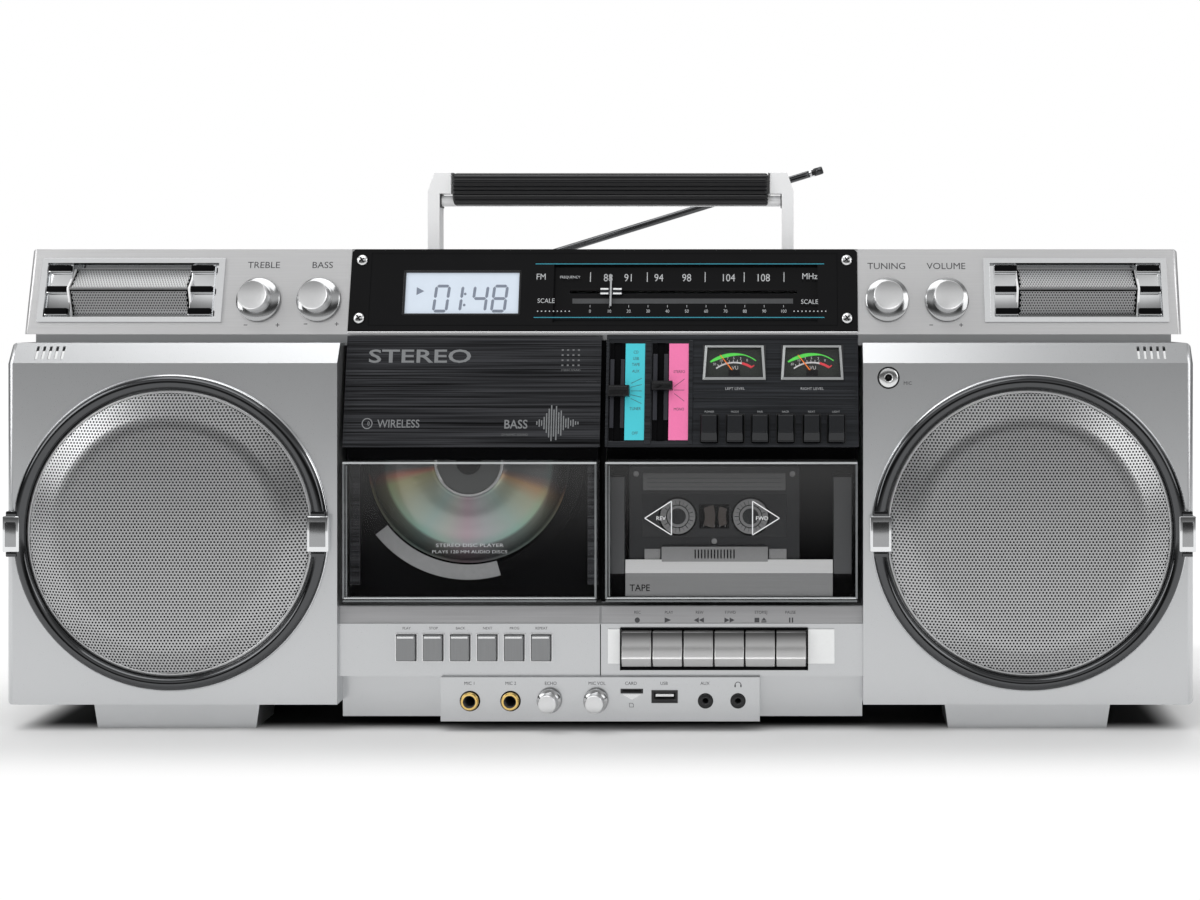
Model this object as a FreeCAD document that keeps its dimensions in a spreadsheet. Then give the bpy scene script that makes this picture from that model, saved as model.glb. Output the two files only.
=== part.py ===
import FreeCAD, Part
import Sketcher
import math
import os

# A portable stereo with a disc player, a cassette deck, a tuner and two
# loudspeaker cabinets. Millimetres, +Z up, the front faces -Y, and the origin
# is on the floor under the middle of the object's box.

V = FreeCAD.Vector
doc = FreeCAD.newDocument("portable_stereo")
sheet = doc.addObject("Spreadsheet::Sheet", "Dims")
ROW = [0]


class Q:
    """A size: its value, and the expression that ties it to the sheet."""

    def __init__(self, v, e):
        self.v, self.e = float(v), e

    def __add__(self, o):
        o = q(o)
        return Q(self.v + o.v, "(%s + %s)" % (self.e, o.e))

    def __radd__(self, o):
        return q(o) + self

    def __sub__(self, o):
        o = q(o)
        return Q(self.v - o.v, "(%s - %s)" % (self.e, o.e))

    def __rsub__(self, o):
        return q(o) - self

    def __mul__(self, o):
        o = q(o)
        return Q(self.v * o.v, "(%s * %s)" % (self.e, o.e))

    def __rmul__(self, o):
        return q(o) * self

    def __neg__(self):
        return Q(-self.v, "(-1 * %s)" % self.e)


def q(v):
    return v if isinstance(v, Q) else Q(v, "%.6g" % v)


def dim(alias, value, note=""):
    """One driving dimension: a cell of the sheet with an alias."""
    ROW[0] += 1
    sheet.set("A%d" % ROW[0], note or alias.replace("_", " "))
    sheet.set("B%d" % ROW[0], "%.6g" % value)
    sheet.setAlias("B%d" % ROW[0], alias)
    return Q(float("%.6g" % value), "Dims." + alias)


def own(label, key, value):
    """A size that belongs to one feature gets a cell of its own."""
    if isinstance(value, Q):
        return value
    return dim("%s_%s" % (label, key), value)


# ---- driving dimensions -------------------------------------------------
front_y = dim("front_y", -82.0, "Y of the cabinets' front plane")
rear_d = dim("rear_depth", 174.5, "depth of the back face behind the front plane")
split_d = dim("split_depth", 86.0, "where front and rear shells meet")
wall = dim("wall_thick", 3.2, "moulded wall")
cab_in = dim("cab_inner_x", 153.8, "inner side of a loudspeaker cabinet")
cab_out = dim("cab_outer_x", 347.5, "outer side of a loudspeaker cabinet")
cab_bot = dim("cab_bottom_z", 16.3, "underside of a cabinet")
cab_top = dim("cab_top_z", 227.7, "top of a cabinet")
bev_z = dim("bevel_start_z", 216.0, "lower edge of the sloping top bevel")
bev_d = dim("bevel_depth", 6.3, "setback of the bevel")
mid_bot = dim("middle_bottom_z", 6.5, "underside of the middle section")
con_z = dim("console_bottom_z", 232.6, "lower edge of the top console")
con_top = dim("console_top_z", 283.5, "top edge of the top console")
con_x = dim("console_half_x", 343.8, "half length of the top console")
con_d0 = dim("console_front_d", 13.2, "setback of its lower edge")
con_d1 = dim("console_topedge_d", 24.7, "setback of its top edge")
deck_z = dim("rear_deck_z", 262.0, "lowered deck behind the console")
pan_z = dim("panel_bottom_z", 166.7, "lower edge of the two upper panels")
pan_d = dim("panel_front_d", 2.0, "their setback at the bottom")
door_lo = dim("door_bottom_z", 75.2, "bottom of the two doors")
door_hi = dim("door_top_z", 158.3, "top of the two doors")
door_t = dim("door_depth", 16.8, "depth of the clear door boxes")
woof_x = dim("woofer_x", 250.7, "woofer axis from the middle")
woof_z = dim("woofer_z", 116.8, "woofer axis height")
woof_r = dim("woofer_ring_rad", 92.0, "outer radius of the trim ring")
hub_xa = dim("reel_left_x", 45.0, "left reel axis")
hub_xb = dim("reel_right_x", 87.8, "right reel axis")
hub_z = dim("reel_z", 125.6, "reel axis height")
disc_x = dim("disc_x", -80.3, "disc axis")
disc_z = dim("disc_z", 156.5, "disc axis height")
piv_d = dim("handle_pivot_d", 63.0, "handle pivot setback")
piv_z = dim("handle_pivot_z", 276.0, "handle pivot height")
ant_x = dim("antenna_x", -63.0, "antenna turret axis")
ant_d = dim("antenna_d", 150.0, "antenna turret setback")
ant_z = dim("antenna_z", 281.7, "antenna tilt axis height")
pin_gap = dim("running_gap", 0.05, "radial running clearance")

TILT_CON = math.degrees(math.atan2(con_d1.v - con_d0.v, con_top.v - con_z.v))
TILT_PAN = 9.7
con_tilt = dim("console_tilt_deg", TILT_CON, "backward lean of the console face")
pan_tilt = dim("panel_tilt_deg", TILT_PAN, "backward lean of the upper panels")

YOFF = [front_y]  # what is added to a setback to give Y


def ch(z):
    """Height along the console face of a height above the floor."""
    return (z - con_z.v) / math.cos(math.radians(TILT_CON))


def ph(z):
    """Height along an upper panel of a height above the floor."""
    return (z - pan_z.v) / math.cos(math.radians(TILT_PAN))


def bind(o, prop, s):
    o.setExpression(prop, s.e)


def base(o, x, y, z):
    bind(o, "Placement.Base.x", q(x))
    bind(o, "Placement.Base.y", q(y))
    bind(o, "Placement.Base.z", q(z))


def block(label, xa, xb, da, db, za, zb):
    o = doc.addObject("Part::Box", label)
    s = [own(label, k, v) for k, v in zip(("xa", "xb", "da", "db", "za", "zb"), (xa, xb, da, db, za, zb))]
    bind(o, "Length", s[1] - s[0])
    bind(o, "Width", s[3] - s[2])
    bind(o, "Height", s[5] - s[4])
    base(o, s[0], YOFF[0] + s[2], s[4])
    return o


def rod(label, axis, x, d, z, r, ln):
    """A cylinder that starts at (x, d, z) and runs +ln along axis."""
    o = doc.addObject("Part::Cylinder", label)
    s = [own(label, k, v) for k, v in zip(("x", "d", "z", "rad", "len"), (x, d, z, r, ln))]
    bind(o, "Radius", s[3])
    bind(o, "Height", s[4])
    rot = {"x": FreeCAD.Rotation(V(0, 1, 0), 90), "y": FreeCAD.Rotation(V(1, 0, 0), -90), "z": FreeCAD.Rotation()}[axis]
    o.Placement = FreeCAD.Placement(V(0, 0, 0), rot)
    base(o, s[0], YOFF[0] + s[1], s[2])
    return o


def sketch(body, plane, pts, label, yadd=False):
    sk = body.newObject("Sketcher::SketchObject", label + "_sketch")
    sk.AttachmentSupport = ([f for f in body.Origin.OriginFeatures if f.Role == plane][0], [""])
    sk.MapMode = "FlatFace"
    n = len(pts)
    qs = []
    for i, (u, w) in enumerate(pts):
        u = own(label, "u%d" % i, u)
        w = own(label, "v%d" % i, w)
        if yadd:
            u = YOFF[0] + u
        qs.append((u, w))
    for i in range(n):
        a, b = qs[i], qs[(i + 1) % n]
        sk.addGeometry(Part.LineSegment(V(a[0].v, a[1].v, 0), V(b[0].v, b[1].v, 0)))
    for i in range(n):
        sk.addConstraint(Sketcher.Constraint("Coincident", i, 2, (i + 1) % n, 1))
    for i, (u, w) in enumerate(qs):
        k = sk.addConstraint(Sketcher.Constraint("DistanceX", -1, 1, i, 1, u.v))
        sk.setExpression("Constraints[%d]" % k, u.e)
        k = sk.addConstraint(Sketcher.Constraint("DistanceY", -1, 1, i, 1, w.v))
        sk.setExpression("Constraints[%d]" % k, w.e)
    return sk


def extr(label, pts, xa, xb):
    """A (setback, height) outline padded along X."""
    body = doc.addObject("PartDesign::Body", label)
    sk = sketch(body, "YZ_Plane", pts, label, yadd=True)
    xa, xb = own(label, "xa", xa), own(label, "xb", xb)
    sk.setExpression("AttachmentOffset.Base.z", xa.e)
    p = body.newObject("PartDesign::Pad", label + "_pad")
    p.Profile = sk
    p.setExpression("Length", (xb - xa).e)
    return body


def plate(label, pts, da, db):
    """An (x, height) outline padded along the setback."""
    body = doc.addObject("PartDesign::Body", label)
    sk = sketch(body, "XZ_Plane", pts, label)
    da, db = own(label, "da", da), own(label, "db", db)
    sk.setExpression("AttachmentOffset.Base.z", (-(YOFF[0] + db)).e)
    p = body.newObject("PartDesign::Pad", label + "_pad")
    p.Profile = sk
    p.setExpression("Length", (db - da).e)
    return body


def turned(label, pts, x, d, z, rot=None, plane="XY_Plane"):
    """A (radius, setback) outline turned about an axis along Y, or about Z for
    a (radius, height) outline in the XZ plane."""
    body = doc.addObject("PartDesign::Body", label)
    sk = sketch(body, plane, pts, label)
    r = body.newObject("PartDesign::Revolution", label + "_turn")
    r.Profile = sk
    r.ReferenceAxis = (sk, ["V_Axis"])
    r.Angle = 360
    if rot is not None:
        body.Placement = FreeCAD.Placement(V(0, 0, 0), rot)
    x, d, z = own(label, "cx", x), own(label, "cd", d), own(label, "cz", z)
    base(body, x, YOFF[0] + d, z)
    return body


PENDING = []


def rounded(body, radius, pick, label):
    """Asks for a fillet on the edges whose midpoint pick() accepts."""
    PENDING.append((body, own(label, "rad", radius), pick, label))
    return body


def round_all():
    """Adds the fillets, once the bodies that they go on have been computed."""
    doc.recompute()
    for body, rad, pick, label in PENDING:
        tip = body.Tip
        names = []
        for i, e in enumerate(tip.Shape.Edges):
            m = e.valueAt((e.FirstParameter + e.LastParameter) / 2)
            if pick(m, e):
                names.append("Edge%d" % (i + 1))
        assert names, label
        f = body.newObject("PartDesign::Fillet", label)
        f.Base = (tip, names)
        f.Radius = rad.v
        f.setExpression("Radius", rad.e)
        body.Tip = f


def fuse(label, *objs):
    o = doc.addObject("Part::MultiFuse", label)
    o.Shapes = list(objs)
    return o


def cut(label, a, *tools):
    o = doc.addObject("Part::Cut", label)
    o.Base = a
    o.Tool = tools[0] if len(tools) == 1 else group(label + "_tools", *tools)
    return o


def group(label, *objs):
    o = doc.addObject("Part::Compound", label)
    o.Links = list(objs)
    return o


def mirror(label, o):
    m = doc.addObject("Part::Mirroring", label)
    m.Source = o
    m.Normal = V(1, 0, 0)
    return m


def both(label, o):
    return group(label, o, mirror(label + "_m", o))


def on_console(o):
    """Puts a piece drawn on a vertical face onto the leaning console face."""
    o.Placement = FreeCAD.Placement(V(0, front_y.v + con_d0.v, con_z.v), FreeCAD.Rotation(V(1, 0, 0), -TILT_CON))
    o.setExpression("Placement.Base.y", (front_y + con_d0).e)
    o.setExpression("Placement.Base.z", con_z.e)
    return o


def on_panel(o):
    o.Placement = FreeCAD.Placement(V(0, front_y.v + pan_d.v, pan_z.v), FreeCAD.Rotation(V(1, 0, 0), -TILT_PAN))
    o.setExpression("Placement.Base.y", (front_y + pan_d).e)
    o.setExpression("Placement.Base.z", pan_z.e)
    return o


ZERO = Q(0.0, "0")
NODES = {}


def node(name, o):
    o.Label = name
    NODES[name] = o
    return o


# ---- front shell ----------------------------------------------------------
cab = extr("cabinet", [(0, cab_bot), (0, bev_z), (bev_d, cab_top), (split_d, cab_top), (split_d, cab_bot)], cab_in, cab_out)
rounded(cab, 4.0, lambda m, e: abs(m.x - cab_out.v) < 0.01 and m.y < front_y.v + split_d.v - 1, "cabinet_edge")
cab_i = extr("cabinet_space", [(3.5, 19.5), (3.5, 214.0), (9.0, 224.4), (split_d + 1, 224.4), (split_d + 1, 19.5)], 157.0, 344.3)
woof_hole = rod("woofer_hole", "y", woof_x, -1.0, woof_z, 84.0, 8.0)
vents = [block("bevel_vent_%d" % i, 314.7 + 3.8 * i, 316.3 + 3.8 * i, -1.0, 9.0, 218.2, 225.6) for i in range(5)]
foot_f = plate("front_foot", [(202.0, cab_bot + 1), (300.7, cab_bot + 1), (298.0, 0.0), (204.5, 0.0)], 10.0, 42.0)
half = cut("cabinet_half", fuse("cabinet_and_foot", cab, foot_f), cab_i, woof_hole, *vents)
low = extr("lower_beam", [(12, mid_bot), (12, 32.3), (3, 32.3), (3, 63), (5, 73.2), (split_d, 73.2), (split_d, mid_bot)], -cab_in, cab_in)
low_i = extr("lower_beam_space", [(15, 9.5), (15, 35.3), (6, 35.3), (6, 63), (8, 70.2), (split_d + 1, 70.2), (split_d + 1, 9.5)], -151.0, 151.0)
ledge = block("jack_ledge", -93.3, 93.3, 0.0, 13.0, mid_bot, 32.3)
ledge_i = block("jack_ledge_space", -90.3, 90.3, 3.0, 16.0, 9.5, 29.3)
neck = block("neck_bar", -338.0, 338.0, 17.0, split_d, 226.0, con_z)
neck_i = block("neck_space", -334.0, 334.0, 21.0, split_d + 1, 225.0, 234.0)
mull = block("mullion", -1.0, 1.8, 16.0, 45.0, 70.5, 229.0)
CD_X = [-113.9, -98.1, -82.3, -66.4, -50.6, -34.8]
cuts = [block("cd_button_hole_%d" % i, x - 5.95, x + 5.95, 2.0, 7.0, 41.35, 56.85) for i, x in enumerate(CD_X)]
cuts.append(block("tape_key_hole", 11.9, 121.1, 2.0, 7.0, 35.8, 60.3))
cuts += [rod("echo_shaft_hole", "y", -29.6, -1.0, 18.8, 3.3, 6.0), rod("mic_level_shaft_hole", "y", -2.4, -1.0, 18.8, 3.3, 6.0)]
cuts += [rod("mic_hole_a", "y", -76.1, -1.0, 18.4, 5.35, 6.0), rod("mic_hole_b", "y", -52.4, -1.0, 18.4, 5.35, 6.0)]
cuts += [rod("line_hole", "y", 61.6, -1.0, 18.5, 4.15, 6.0), rod("phones_hole", "y", 80.6, -1.0, 18.5, 4.15, 6.0)]
cuts += [block("usb_hole", 30.35, 45.05, -1.0, 4.0, 17.75, 24.25), block("card_hole", 11.9, 25.1, -1.0, 4.0, 22.8, 25.6)]
cuts += [rod("capsule_hole", "y", 168.6, -1.0, 207.4, 5.85, 6.0)]
shell = fuse("front_shell_blank", half, mirror("cabinet_half_m", half), cut("lower_beam_hollow", low, low_i), ledge, mull,
             cut("neck_frame", neck, neck_i))
node("front_shell", cut("front_shell_cut", shell, ledge_i, *cuts))

# ---- rear shell -----------------------------------------------------------
rear = plate("rear_blank", [(-cab_out, cab_bot), (-cab_out, cab_top), (cab_out, cab_top), (cab_out, cab_bot), (cab_in, cab_bot),
                            (cab_in, mid_bot), (-cab_in, mid_bot), (-cab_in, cab_bot)], split_d, rear_d)
rounded(rear, 5.0, lambda m, e: abs(abs(m.x) - cab_out.v) < 0.01 and m.y > front_y.v + split_d.v + 1, "rear_edge")
rear_i = plate("rear_space", [(-344.3, 19.5), (-344.3, 224.4), (344.3, 224.4), (344.3, 19.5), (151.0, 19.5), (151.0, 9.5), (-151.0, 9.5),
                              (-151.0, 19.5)], split_d - 1, 171.3)
bay = block("battery_tray_blank", -80.5, 80.5, 126.0, 171.3, 35.5, 114.0)
bay_i = block("battery_space", -77.6, 77.6, 128.5, 175.5, 38.0, 111.8)
inlet = block("mains_inlet_housing", 239.0, 263.0, 150.0, 171.3, 38.0, 54.0)
inlet_i = block("mains_inlet_space", 242.0, 260.0, 153.0, 176.0, 41.0, 51.0)
pins = [rod("inlet_pin_a", "y", 247.0, 152.0, 46.0, 1.2, 14.0), rod("inlet_pin_b", "y", 255.0, 152.0, 46.0, 1.2, 14.0)]
foot_r = plate("rear_foot", [(202.0, cab_bot), (300.7, cab_bot), (298.0, 0.0), (204.5, 0.0)], 130.0, 162.0)
rslots = []
for i in range(7):
    rslots.append(block("rear_vent_%d" % i, 190.0, 310.0, 165.0, 176.0, 92.0 + 8 * i, 95.2 + 8 * i))
RS = [(-330, 32), (-330, 212), (-140, 212), (140, 212), (330, 212), (330, 32), (-140, 24), (140, 24)]
rscr = [rod("rear_screw_well_%d" % i, "y", float(x), 172.7, float(z), 4.2, 4.0) for i, (x, z) in enumerate(RS)]
vent_half = group("rear_vents", *rslots)
rneck = cut("rear_neck_frame", block("rear_neck_bar", -338.0, 338.0, split_d, 168.0, 226.0, con_z), block("rear_neck_space", -334.0, 334.0, split_d - 1, 164.0, 225.0, 234.0))
rear_s = fuse("rear_blank_fused", cut("rear_hollow", rear, rear_i), rneck)
node("rear_shell", cut("rear_shell_cut", rear_s, bay_i, inlet_i, vent_half, mirror("rear_vents_m", vent_half), *rscr))

# ---- mouldings screwed to the rear shell: battery tray, mains inlet and rear feet ----
node("rear_mouldings", group("rear_mouldings_all", cut("battery_tray", bay, bay_i), fuse("mains_inlet", cut("mains_inlet_shell", inlet, inlet_i), *pins),
                             foot_r, mirror("rear_foot_m", foot_r)))

# ---- top console ------------------------------------------------------------
con = extr("console_blank", [(con_d0, con_z), (con_d1, con_top), (46, con_top), (50, deck_z), (172, deck_z), (172, con_z)], -con_x, con_x)
rounded(con, 3.0, lambda m, e: abs(abs(m.x) - con_x.v) < 0.01 and m.z > con_z.v + 1, "console_end_edge")
con_i = extr("console_space", [(15.4, 231.0), (26.7, 281.0), (44, 281.0), (48, 259.5), (169.5, 259.5), (169.5, 231.0)], -341.3, 341.3)
ear = cut("handle_ear_cut", block("handle_ear", 114.6, 121.5, 53.0, 73.0, 260.5, 284.3), rod("handle_ear_hole", "x", 110.0, piv_d, piv_z, 3.0 + pin_gap, 15.0))
ant_hole = rod("antenna_hole", "z", ant_x, ant_d, 255.0, 4.0 + pin_gap, 12.0)
YOFF[0] = ZERO
tw_o = block("tweeter_opening", 228.6, 334.5, -2.0, 5.0, ch(241.2), ch(276.3))
dl_o = block("dial_recess", -151.6, 151.6, -2.0, 1.0, 1.5, ch(283.5) - 0.0)
dl_t = block("dial_opening", -128.0, 131.5, -2.0, 5.0, 4.6, 45.0)
KNX = {"treble": -205.4, "bass": -169.6, "tuning": 169.0, "volume": 204.5}
kn_o = [rod("%s_shaft_hole" % k, "y", x, -2.0, ch(253.0), 3.2, 8.0) for k, x in KNX.items()]
face_cuts = on_console(group("console_face_cuts", tw_o, mirror("tweeter_opening_m", tw_o), dl_o, dl_t, *kn_o))
YOFF[0] = front_y
node("top_console", cut("top_console_cut", fuse("console_with_ears", cut("console_hollow", con, con_i), ear, mirror("handle_ear_m", ear)), face_cuts, ant_hole))

# ---- dial, display and pointer (drawn on the console face) -------------------
YOFF[0] = ZERO
dp = plate("dial_plate", [(-151.3, 1.8), (-151.3, 50.2), (-149.3, 52.0), (149.3, 52.0), (151.3, 50.2), (151.3, 1.8)], -0.8, 1.0)
tub = block("dial_tub", -32.0, 129.5, 0.9, 4.5, 5.0, 44.5)
well = block("dial_well", -30.0, 127.5, -1.5, 3.0, 7.0, 42.5)
lcw = block("display_window", -118.8, -50.0, -1.5, 2.0, ch(244.4), ch(269.7))
slot = block("pointer_slot", -20.6, 115.2, 2.0, 5.0, ch(258.4) - 0.9, ch(258.4) + 0.9)
node("dial_panel", on_console(cut("dial_panel_cut", fuse("dial_panel_blank", dp, tub), well, lcw, slot)))
display = on_console(plate("display_block", [(-118.5, ch(244.7)), (-118.5, ch(269.4)), (-50.3, ch(269.4)), (-50.3, ch(244.7))], 0.3, 7.0))
tp = fuse("pointer_all", block("pointer_line", 3.45, 4.55, 1.0, 1.9, ch(249.4), ch(268.7)),
          block("pointer_wing", -2.4, 10.7, 1.0, 1.9, ch(258.4) - 2.1, ch(258.4) + 2.1),
          block("pointer_stem", 2.6, 5.4, 1.8, 7.0, ch(258.4) - 0.6, ch(258.4) + 0.6))
node("tuning_pointer", on_console(tp))

# ---- console knobs ------------------------------------------------------------
for k, x in KNX.items():
    kb = turned("knob_%s_turn" % k, [(0, -13.4), (7.9, -13.4), (8.65, -12.6), (8.65, -3.2), (13.0, -2.2), (13.0, -0.6), (3.0, -0.6), (3.0, 9.0), (0, 9.0)],
                x, 0.0, ch(253.0))
    node("knob_" + k, on_console(group("knob_%s_set" % k, kb)))

# ---- tweeters ---------------------------------------------------------------------
horn = block("horn_block", 226.8, 336.3, -1.4, 9.0, ch(239.7), ch(277.8))
horn_back = block("horn_back", 229.5, 333.6, 4.0, 12.0, ch(241.6), ch(276.0))
horn_rim = block("horn_rim", 228.0, 335.0, -3.0, 0.0, 0, 1)
h_sp = block("horn_space", 246.5, 318.9, -2.0, 8.0, ch(242.6), ch(274.9))
h_l = block("horn_step_l", 230.4, 247.0, -2.0, 2.0, ch(242.6), ch(274.9))
h_r = block("horn_step_r", 318.5, 332.7, -2.0, 2.0, ch(242.6), ch(274.9))
h_ol = block("horn_skirt_l", 225.0, 228.8, 0.0, 13.0, 0.0, 60.0)
h_or = block("horn_skirt_r", 334.3, 338.0, 0.0, 13.0, 0.0, 60.0)
h_ob = block("horn_skirt_b", 225.0, 338.0, 0.0, 13.0, 0.0, ch(241.4))
h_ot = block("horn_skirt_t", 225.0, 338.0, 0.0, 13.0, ch(276.1), 60.0)
dome = turned("tweeter_dome", [(0, 3.0), (6.0, 4.2), (9.0, 7.0), (14.0, 7.6), (14.0, 13.0), (0, 13.0)], 282.7, 0.0, ch(258.6))
hn = fuse("horn_all", cut("horn_cut", fuse("horn_blank", horn, horn_back), h_sp, h_l, h_r, h_ol, h_or, h_ob, h_ot), dome)
node("tweeter_horns", on_console(both("horn_pair", hn)))
doc.removeObject("horn_rim")
tg = extr("tweeter_mesh", [(5.6, ch(243.6)), (-2.6, ch(259.2)), (5.6, ch(273.2)), (6.4, ch(272.6)), (-1.6, ch(259.2)), (6.4, ch(244.2))], 247.3, 318.1)
node("tweeter_grilles", on_console(both("tweeter_mesh_pair", tg)))

# ---- upper right panel with its switches and meters -----------------------------
SEL_X = [63.7, 78.8, 93.5, 108.5, 123.7, 138.1]
H_TOP = ph(231.6)
sp = plate("switch_plate", [(2.5, 0.0), (2.5, ph(232.2)), (151.4, ph(232.2)), (151.4, 0.0)], 0.0, 2.6)
sp_c = [block("function_slot", 6.9, 11.4, -1.0, 4.0, ph(170.1), ph(227.6)), block("band_slot", 32.4, 36.9, -1.0, 4.0, ph(170.1), ph(227.6)),
        block("function_groove", 4.1, 14.1, -1.0, 0.9, ph(170.1), ph(227.6)), block("band_groove", 29.4, 39.9, -1.0, 0.9, ph(170.1), ph(227.6)),
        block("meter_opening_a", 60.2, 96.0, -1.0, 4.0, ph(206.2), ph(225.5)), block("meter_opening_b", 106.4, 141.9, -1.0, 4.0, ph(206.2), ph(225.5))]
sp_c += [block("selector_hole_%d" % i, x - 4.95, x + 4.95, -1.0, 4.0, ph(169.0), ph(185.3)) for i, x in enumerate(SEL_X)]
node("switch_panel", on_panel(cut("switch_panel_cut", sp, *sp_c)))
for i, x in enumerate(SEL_X):
    b = extr("selector_%d" % (i + 1), [(-7.0, ph(174.3)), (-7.0, ph(184.9)), (7.0, ph(184.9)), (7.0, ph(169.4)), (-4.6, ph(169.4))], x - 4.55, x + 4.55)
    rounded(b, 0.7, lambda m, e: m.y < -6.9, "selector_%d_edge" % (i + 1))
    node("selector_button_%d" % (i + 1), on_panel(group("selector_%d_set" % (i + 1), b)))
fs = fuse("function_knob_all", block("function_knob", 4.3, 16.6, -6.0, -0.5, ph(195.7), ph(202.1)), block("function_stem", 7.4, 10.9, -0.6, 6.0, ph(196.5), ph(201.3)))
node("function_slider", on_panel(fs))
bs = fuse("band_knob_all", block("band_knob", 29.9, 42.0, -6.0, -0.5, ph(199.4), ph(204.6)), block("band_stem", 32.9, 36.4, -0.6, 6.0, ph(200.0), ph(204.0)))
node("band_slider", on_panel(bs))
mets = []
for k, (a, b) in {"left": (59.5, 96.7), "right": (105.7, 142.6)}.items():
    hous = fuse("meter_%s_blank" % k, block("meter_%s_frame" % k, a, b, -1.0, 0.0, ph(205.5), ph(226.1)),
                block("meter_%s_box" % k, a + 0.9, b - 0.9, 0.0, 10.0, ph(206.4), ph(225.3)))
    mets.append(cut("meter_%s_cut" % k, hous, block("meter_%s_space" % k, a + 2.6, b - 2.6, -2.0, 2.4, ph(207.9), ph(224.3))))
    c = (a + b) / 2
    n = plate("needle_%s_bar" % k, [(-0.35, 0.0), (-0.22, 13.6), (0.22, 13.6), (0.35, 0.0)], 0.6, 1.2)
    n2 = turned("needle_%s_boss" % k, [(0, 0.5), (1.5, 0.5), (1.5, 1.5), (0, 1.5)], 0.0, 0.0, 0.0)
    ndl = fuse("needle_%s_all" % k, n, n2)
    ndl.Placement = FreeCAD.Placement(V(c, 0, ph(210.0)), FreeCAD.Rotation(V(0, 1, 0), -38))
    node("vu_needle_" + k, on_panel(group("needle_%s_set" % k, ndl)))
node("vu_meters", on_panel(group("meter_pair", *mets)))
YOFF[0] = front_y

# ---- woofers ---------------------------------------------------------------------------
ring = turned("woofer_ring", [(84.2, -1.2), (85.6, -3.0), (88.5, -4.2), (91.4, -2.8), (92.0, 0.0), (92.0, 0.0), (84.2, 0.0)][:5] + [(84.2, 0.0)], woof_x, 0.0, woof_z)
clip = [block("ring_clip_in", 157.5, 170.0, -4.6, 0.0, 106.0, 127.0), block("ring_clip_out", 337.8, 347.2, -4.6, 0.0, 106.0, 127.0)]
clip_hole = rod("ring_clip_trim", "y", woof_x, -6.0, woof_z, 84.2, 8.0)
node("woofer_rings", both("woofer_ring_pair", cut("woofer_ring_cut", fuse("woofer_ring_all", ring, *clip), clip_hole)))
gr = turned("woofer_mesh", [(0, -8.0), (64.5, -8.0), (83.9, -1.4), (83.9, 0.0), (82.6, 0.0), (82.6, -0.9), (64.2, -7.1), (0, -7.1)], woof_x, 0.0, woof_z)
node("woofer_grilles", both("woofer_mesh_pair", gr))
dr = turned("woofer_driver", [(0, 26.0), (17.0, 30.0), (70.0, 7.6), (76.0, 5.6), (80.0, 7.0), (83.0, 7.0), (83.0, 9.5), (78.0, 9.5), (40.0, 44.0), (40.0, 66.0), (0, 66.0)],
            woof_x, -3.4, woof_z)
node("woofer_drivers", both("woofer_driver_pair", dr))

# ---- sockets along the front ledge, and the built-in microphone ----------------------------
so = []
for k, x in (("a", -76.1), ("b", -52.4)):
    so.append(turned("mic_socket_" + k, [(3.2, -2.4), (4.6, -2.4), (5.3, -1.6), (5.3, 10.0), (6.6, 10.0), (6.6, 16.0), (0, 16.0), (0, 14.0), (3.2, 14.0)], x, 0.0, 18.4))
for k, x in (("line", 61.6), ("phones", 80.6)):
    so.append(turned("%s_socket" % k, [(1.8, -0.9), (3.6, -0.9), (4.1, -0.5), (4.1, 10.0), (5.2, 10.0), (5.2, 16.0), (0, 16.0), (0, 14.0), (1.8, 14.0)], x, 0.0, 18.5))
usb = cut("usb_cut", block("usb_shell", 30.4, 45.0, -0.4, 13.0, 17.8, 24.2), block("usb_space", 31.4, 44.0, -1.0, 11.0, 18.7, 23.3))
so.append(fuse("usb_all", usb, block("usb_tongue", 32.4, 43.0, 1.0, 12.0, 20.9, 22.4)))
so.append(cut("card_cut", block("card_shell", 12.0, 25.0, -0.3, 16.0, 22.9, 25.5), block("card_space", 12.9, 24.1, -1.0, 14.0, 23.5, 24.9)))
so.append(turned("capsule", [(0, 2.6), (1.9, 2.6), (1.9, -0.9), (5.0, -0.9), (5.8, -0.2), (5.8, 7.0), (0, 7.0)], 168.6, 0.0, 207.4))
node("front_sockets", group("front_socket_set", *so))
for k, x in (("echo", -29.6), ("mic_volume", -2.4)):
    node("knob_" + k, turned("knob_%s_turn" % k, [(0, -10.5), (4.8, -10.5), (5.3, -10.0), (5.3, -2.6), (7.25, -1.9), (7.25, -0.5), (3.0, -0.5), (3.0, 8.0), (0, 8.0)], x, 0.0, 18.8))

# ---- push buttons of the disc player and piano keys of the tape deck --------------------------
CD_N = ["play", "stop", "previous", "next", "program", "repeat"]
for n, x in zip(CD_N, CD_X):
    b = plate("cd_%s_key" % n, [(x - 5.55, 41.75), (x - 5.55, 56.45), (x + 5.55, 56.45), (x + 5.55, 41.75)], 0.2, 12.0)
    rounded(b, 0.9, lambda m, e: m.y < front_y.v + 0.21, "cd_%s_edge" % n)
    node("cd_button_" + n, b)
KEY_N = ["record", "play", "rewind", "forward", "stop", "pause"]
for i, n in enumerate(KEY_N):
    x = 21.4 + 18.05 * i
    b = extr("tape_%s_key" % n, [(-4.2, 44.1), (-2.4, 59.3), (14.0, 59.3), (14.0, 38.7), (-1.2, 38.7)], x - 8.6, x + 8.6)
    rounded(b, 0.5, lambda m, e: m.y < front_y.v + 1.0 and abs(m.z - 44.1) > 1.0, "tape_%s_edge" % n)
    node("tape_key_" + n, b)

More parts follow.
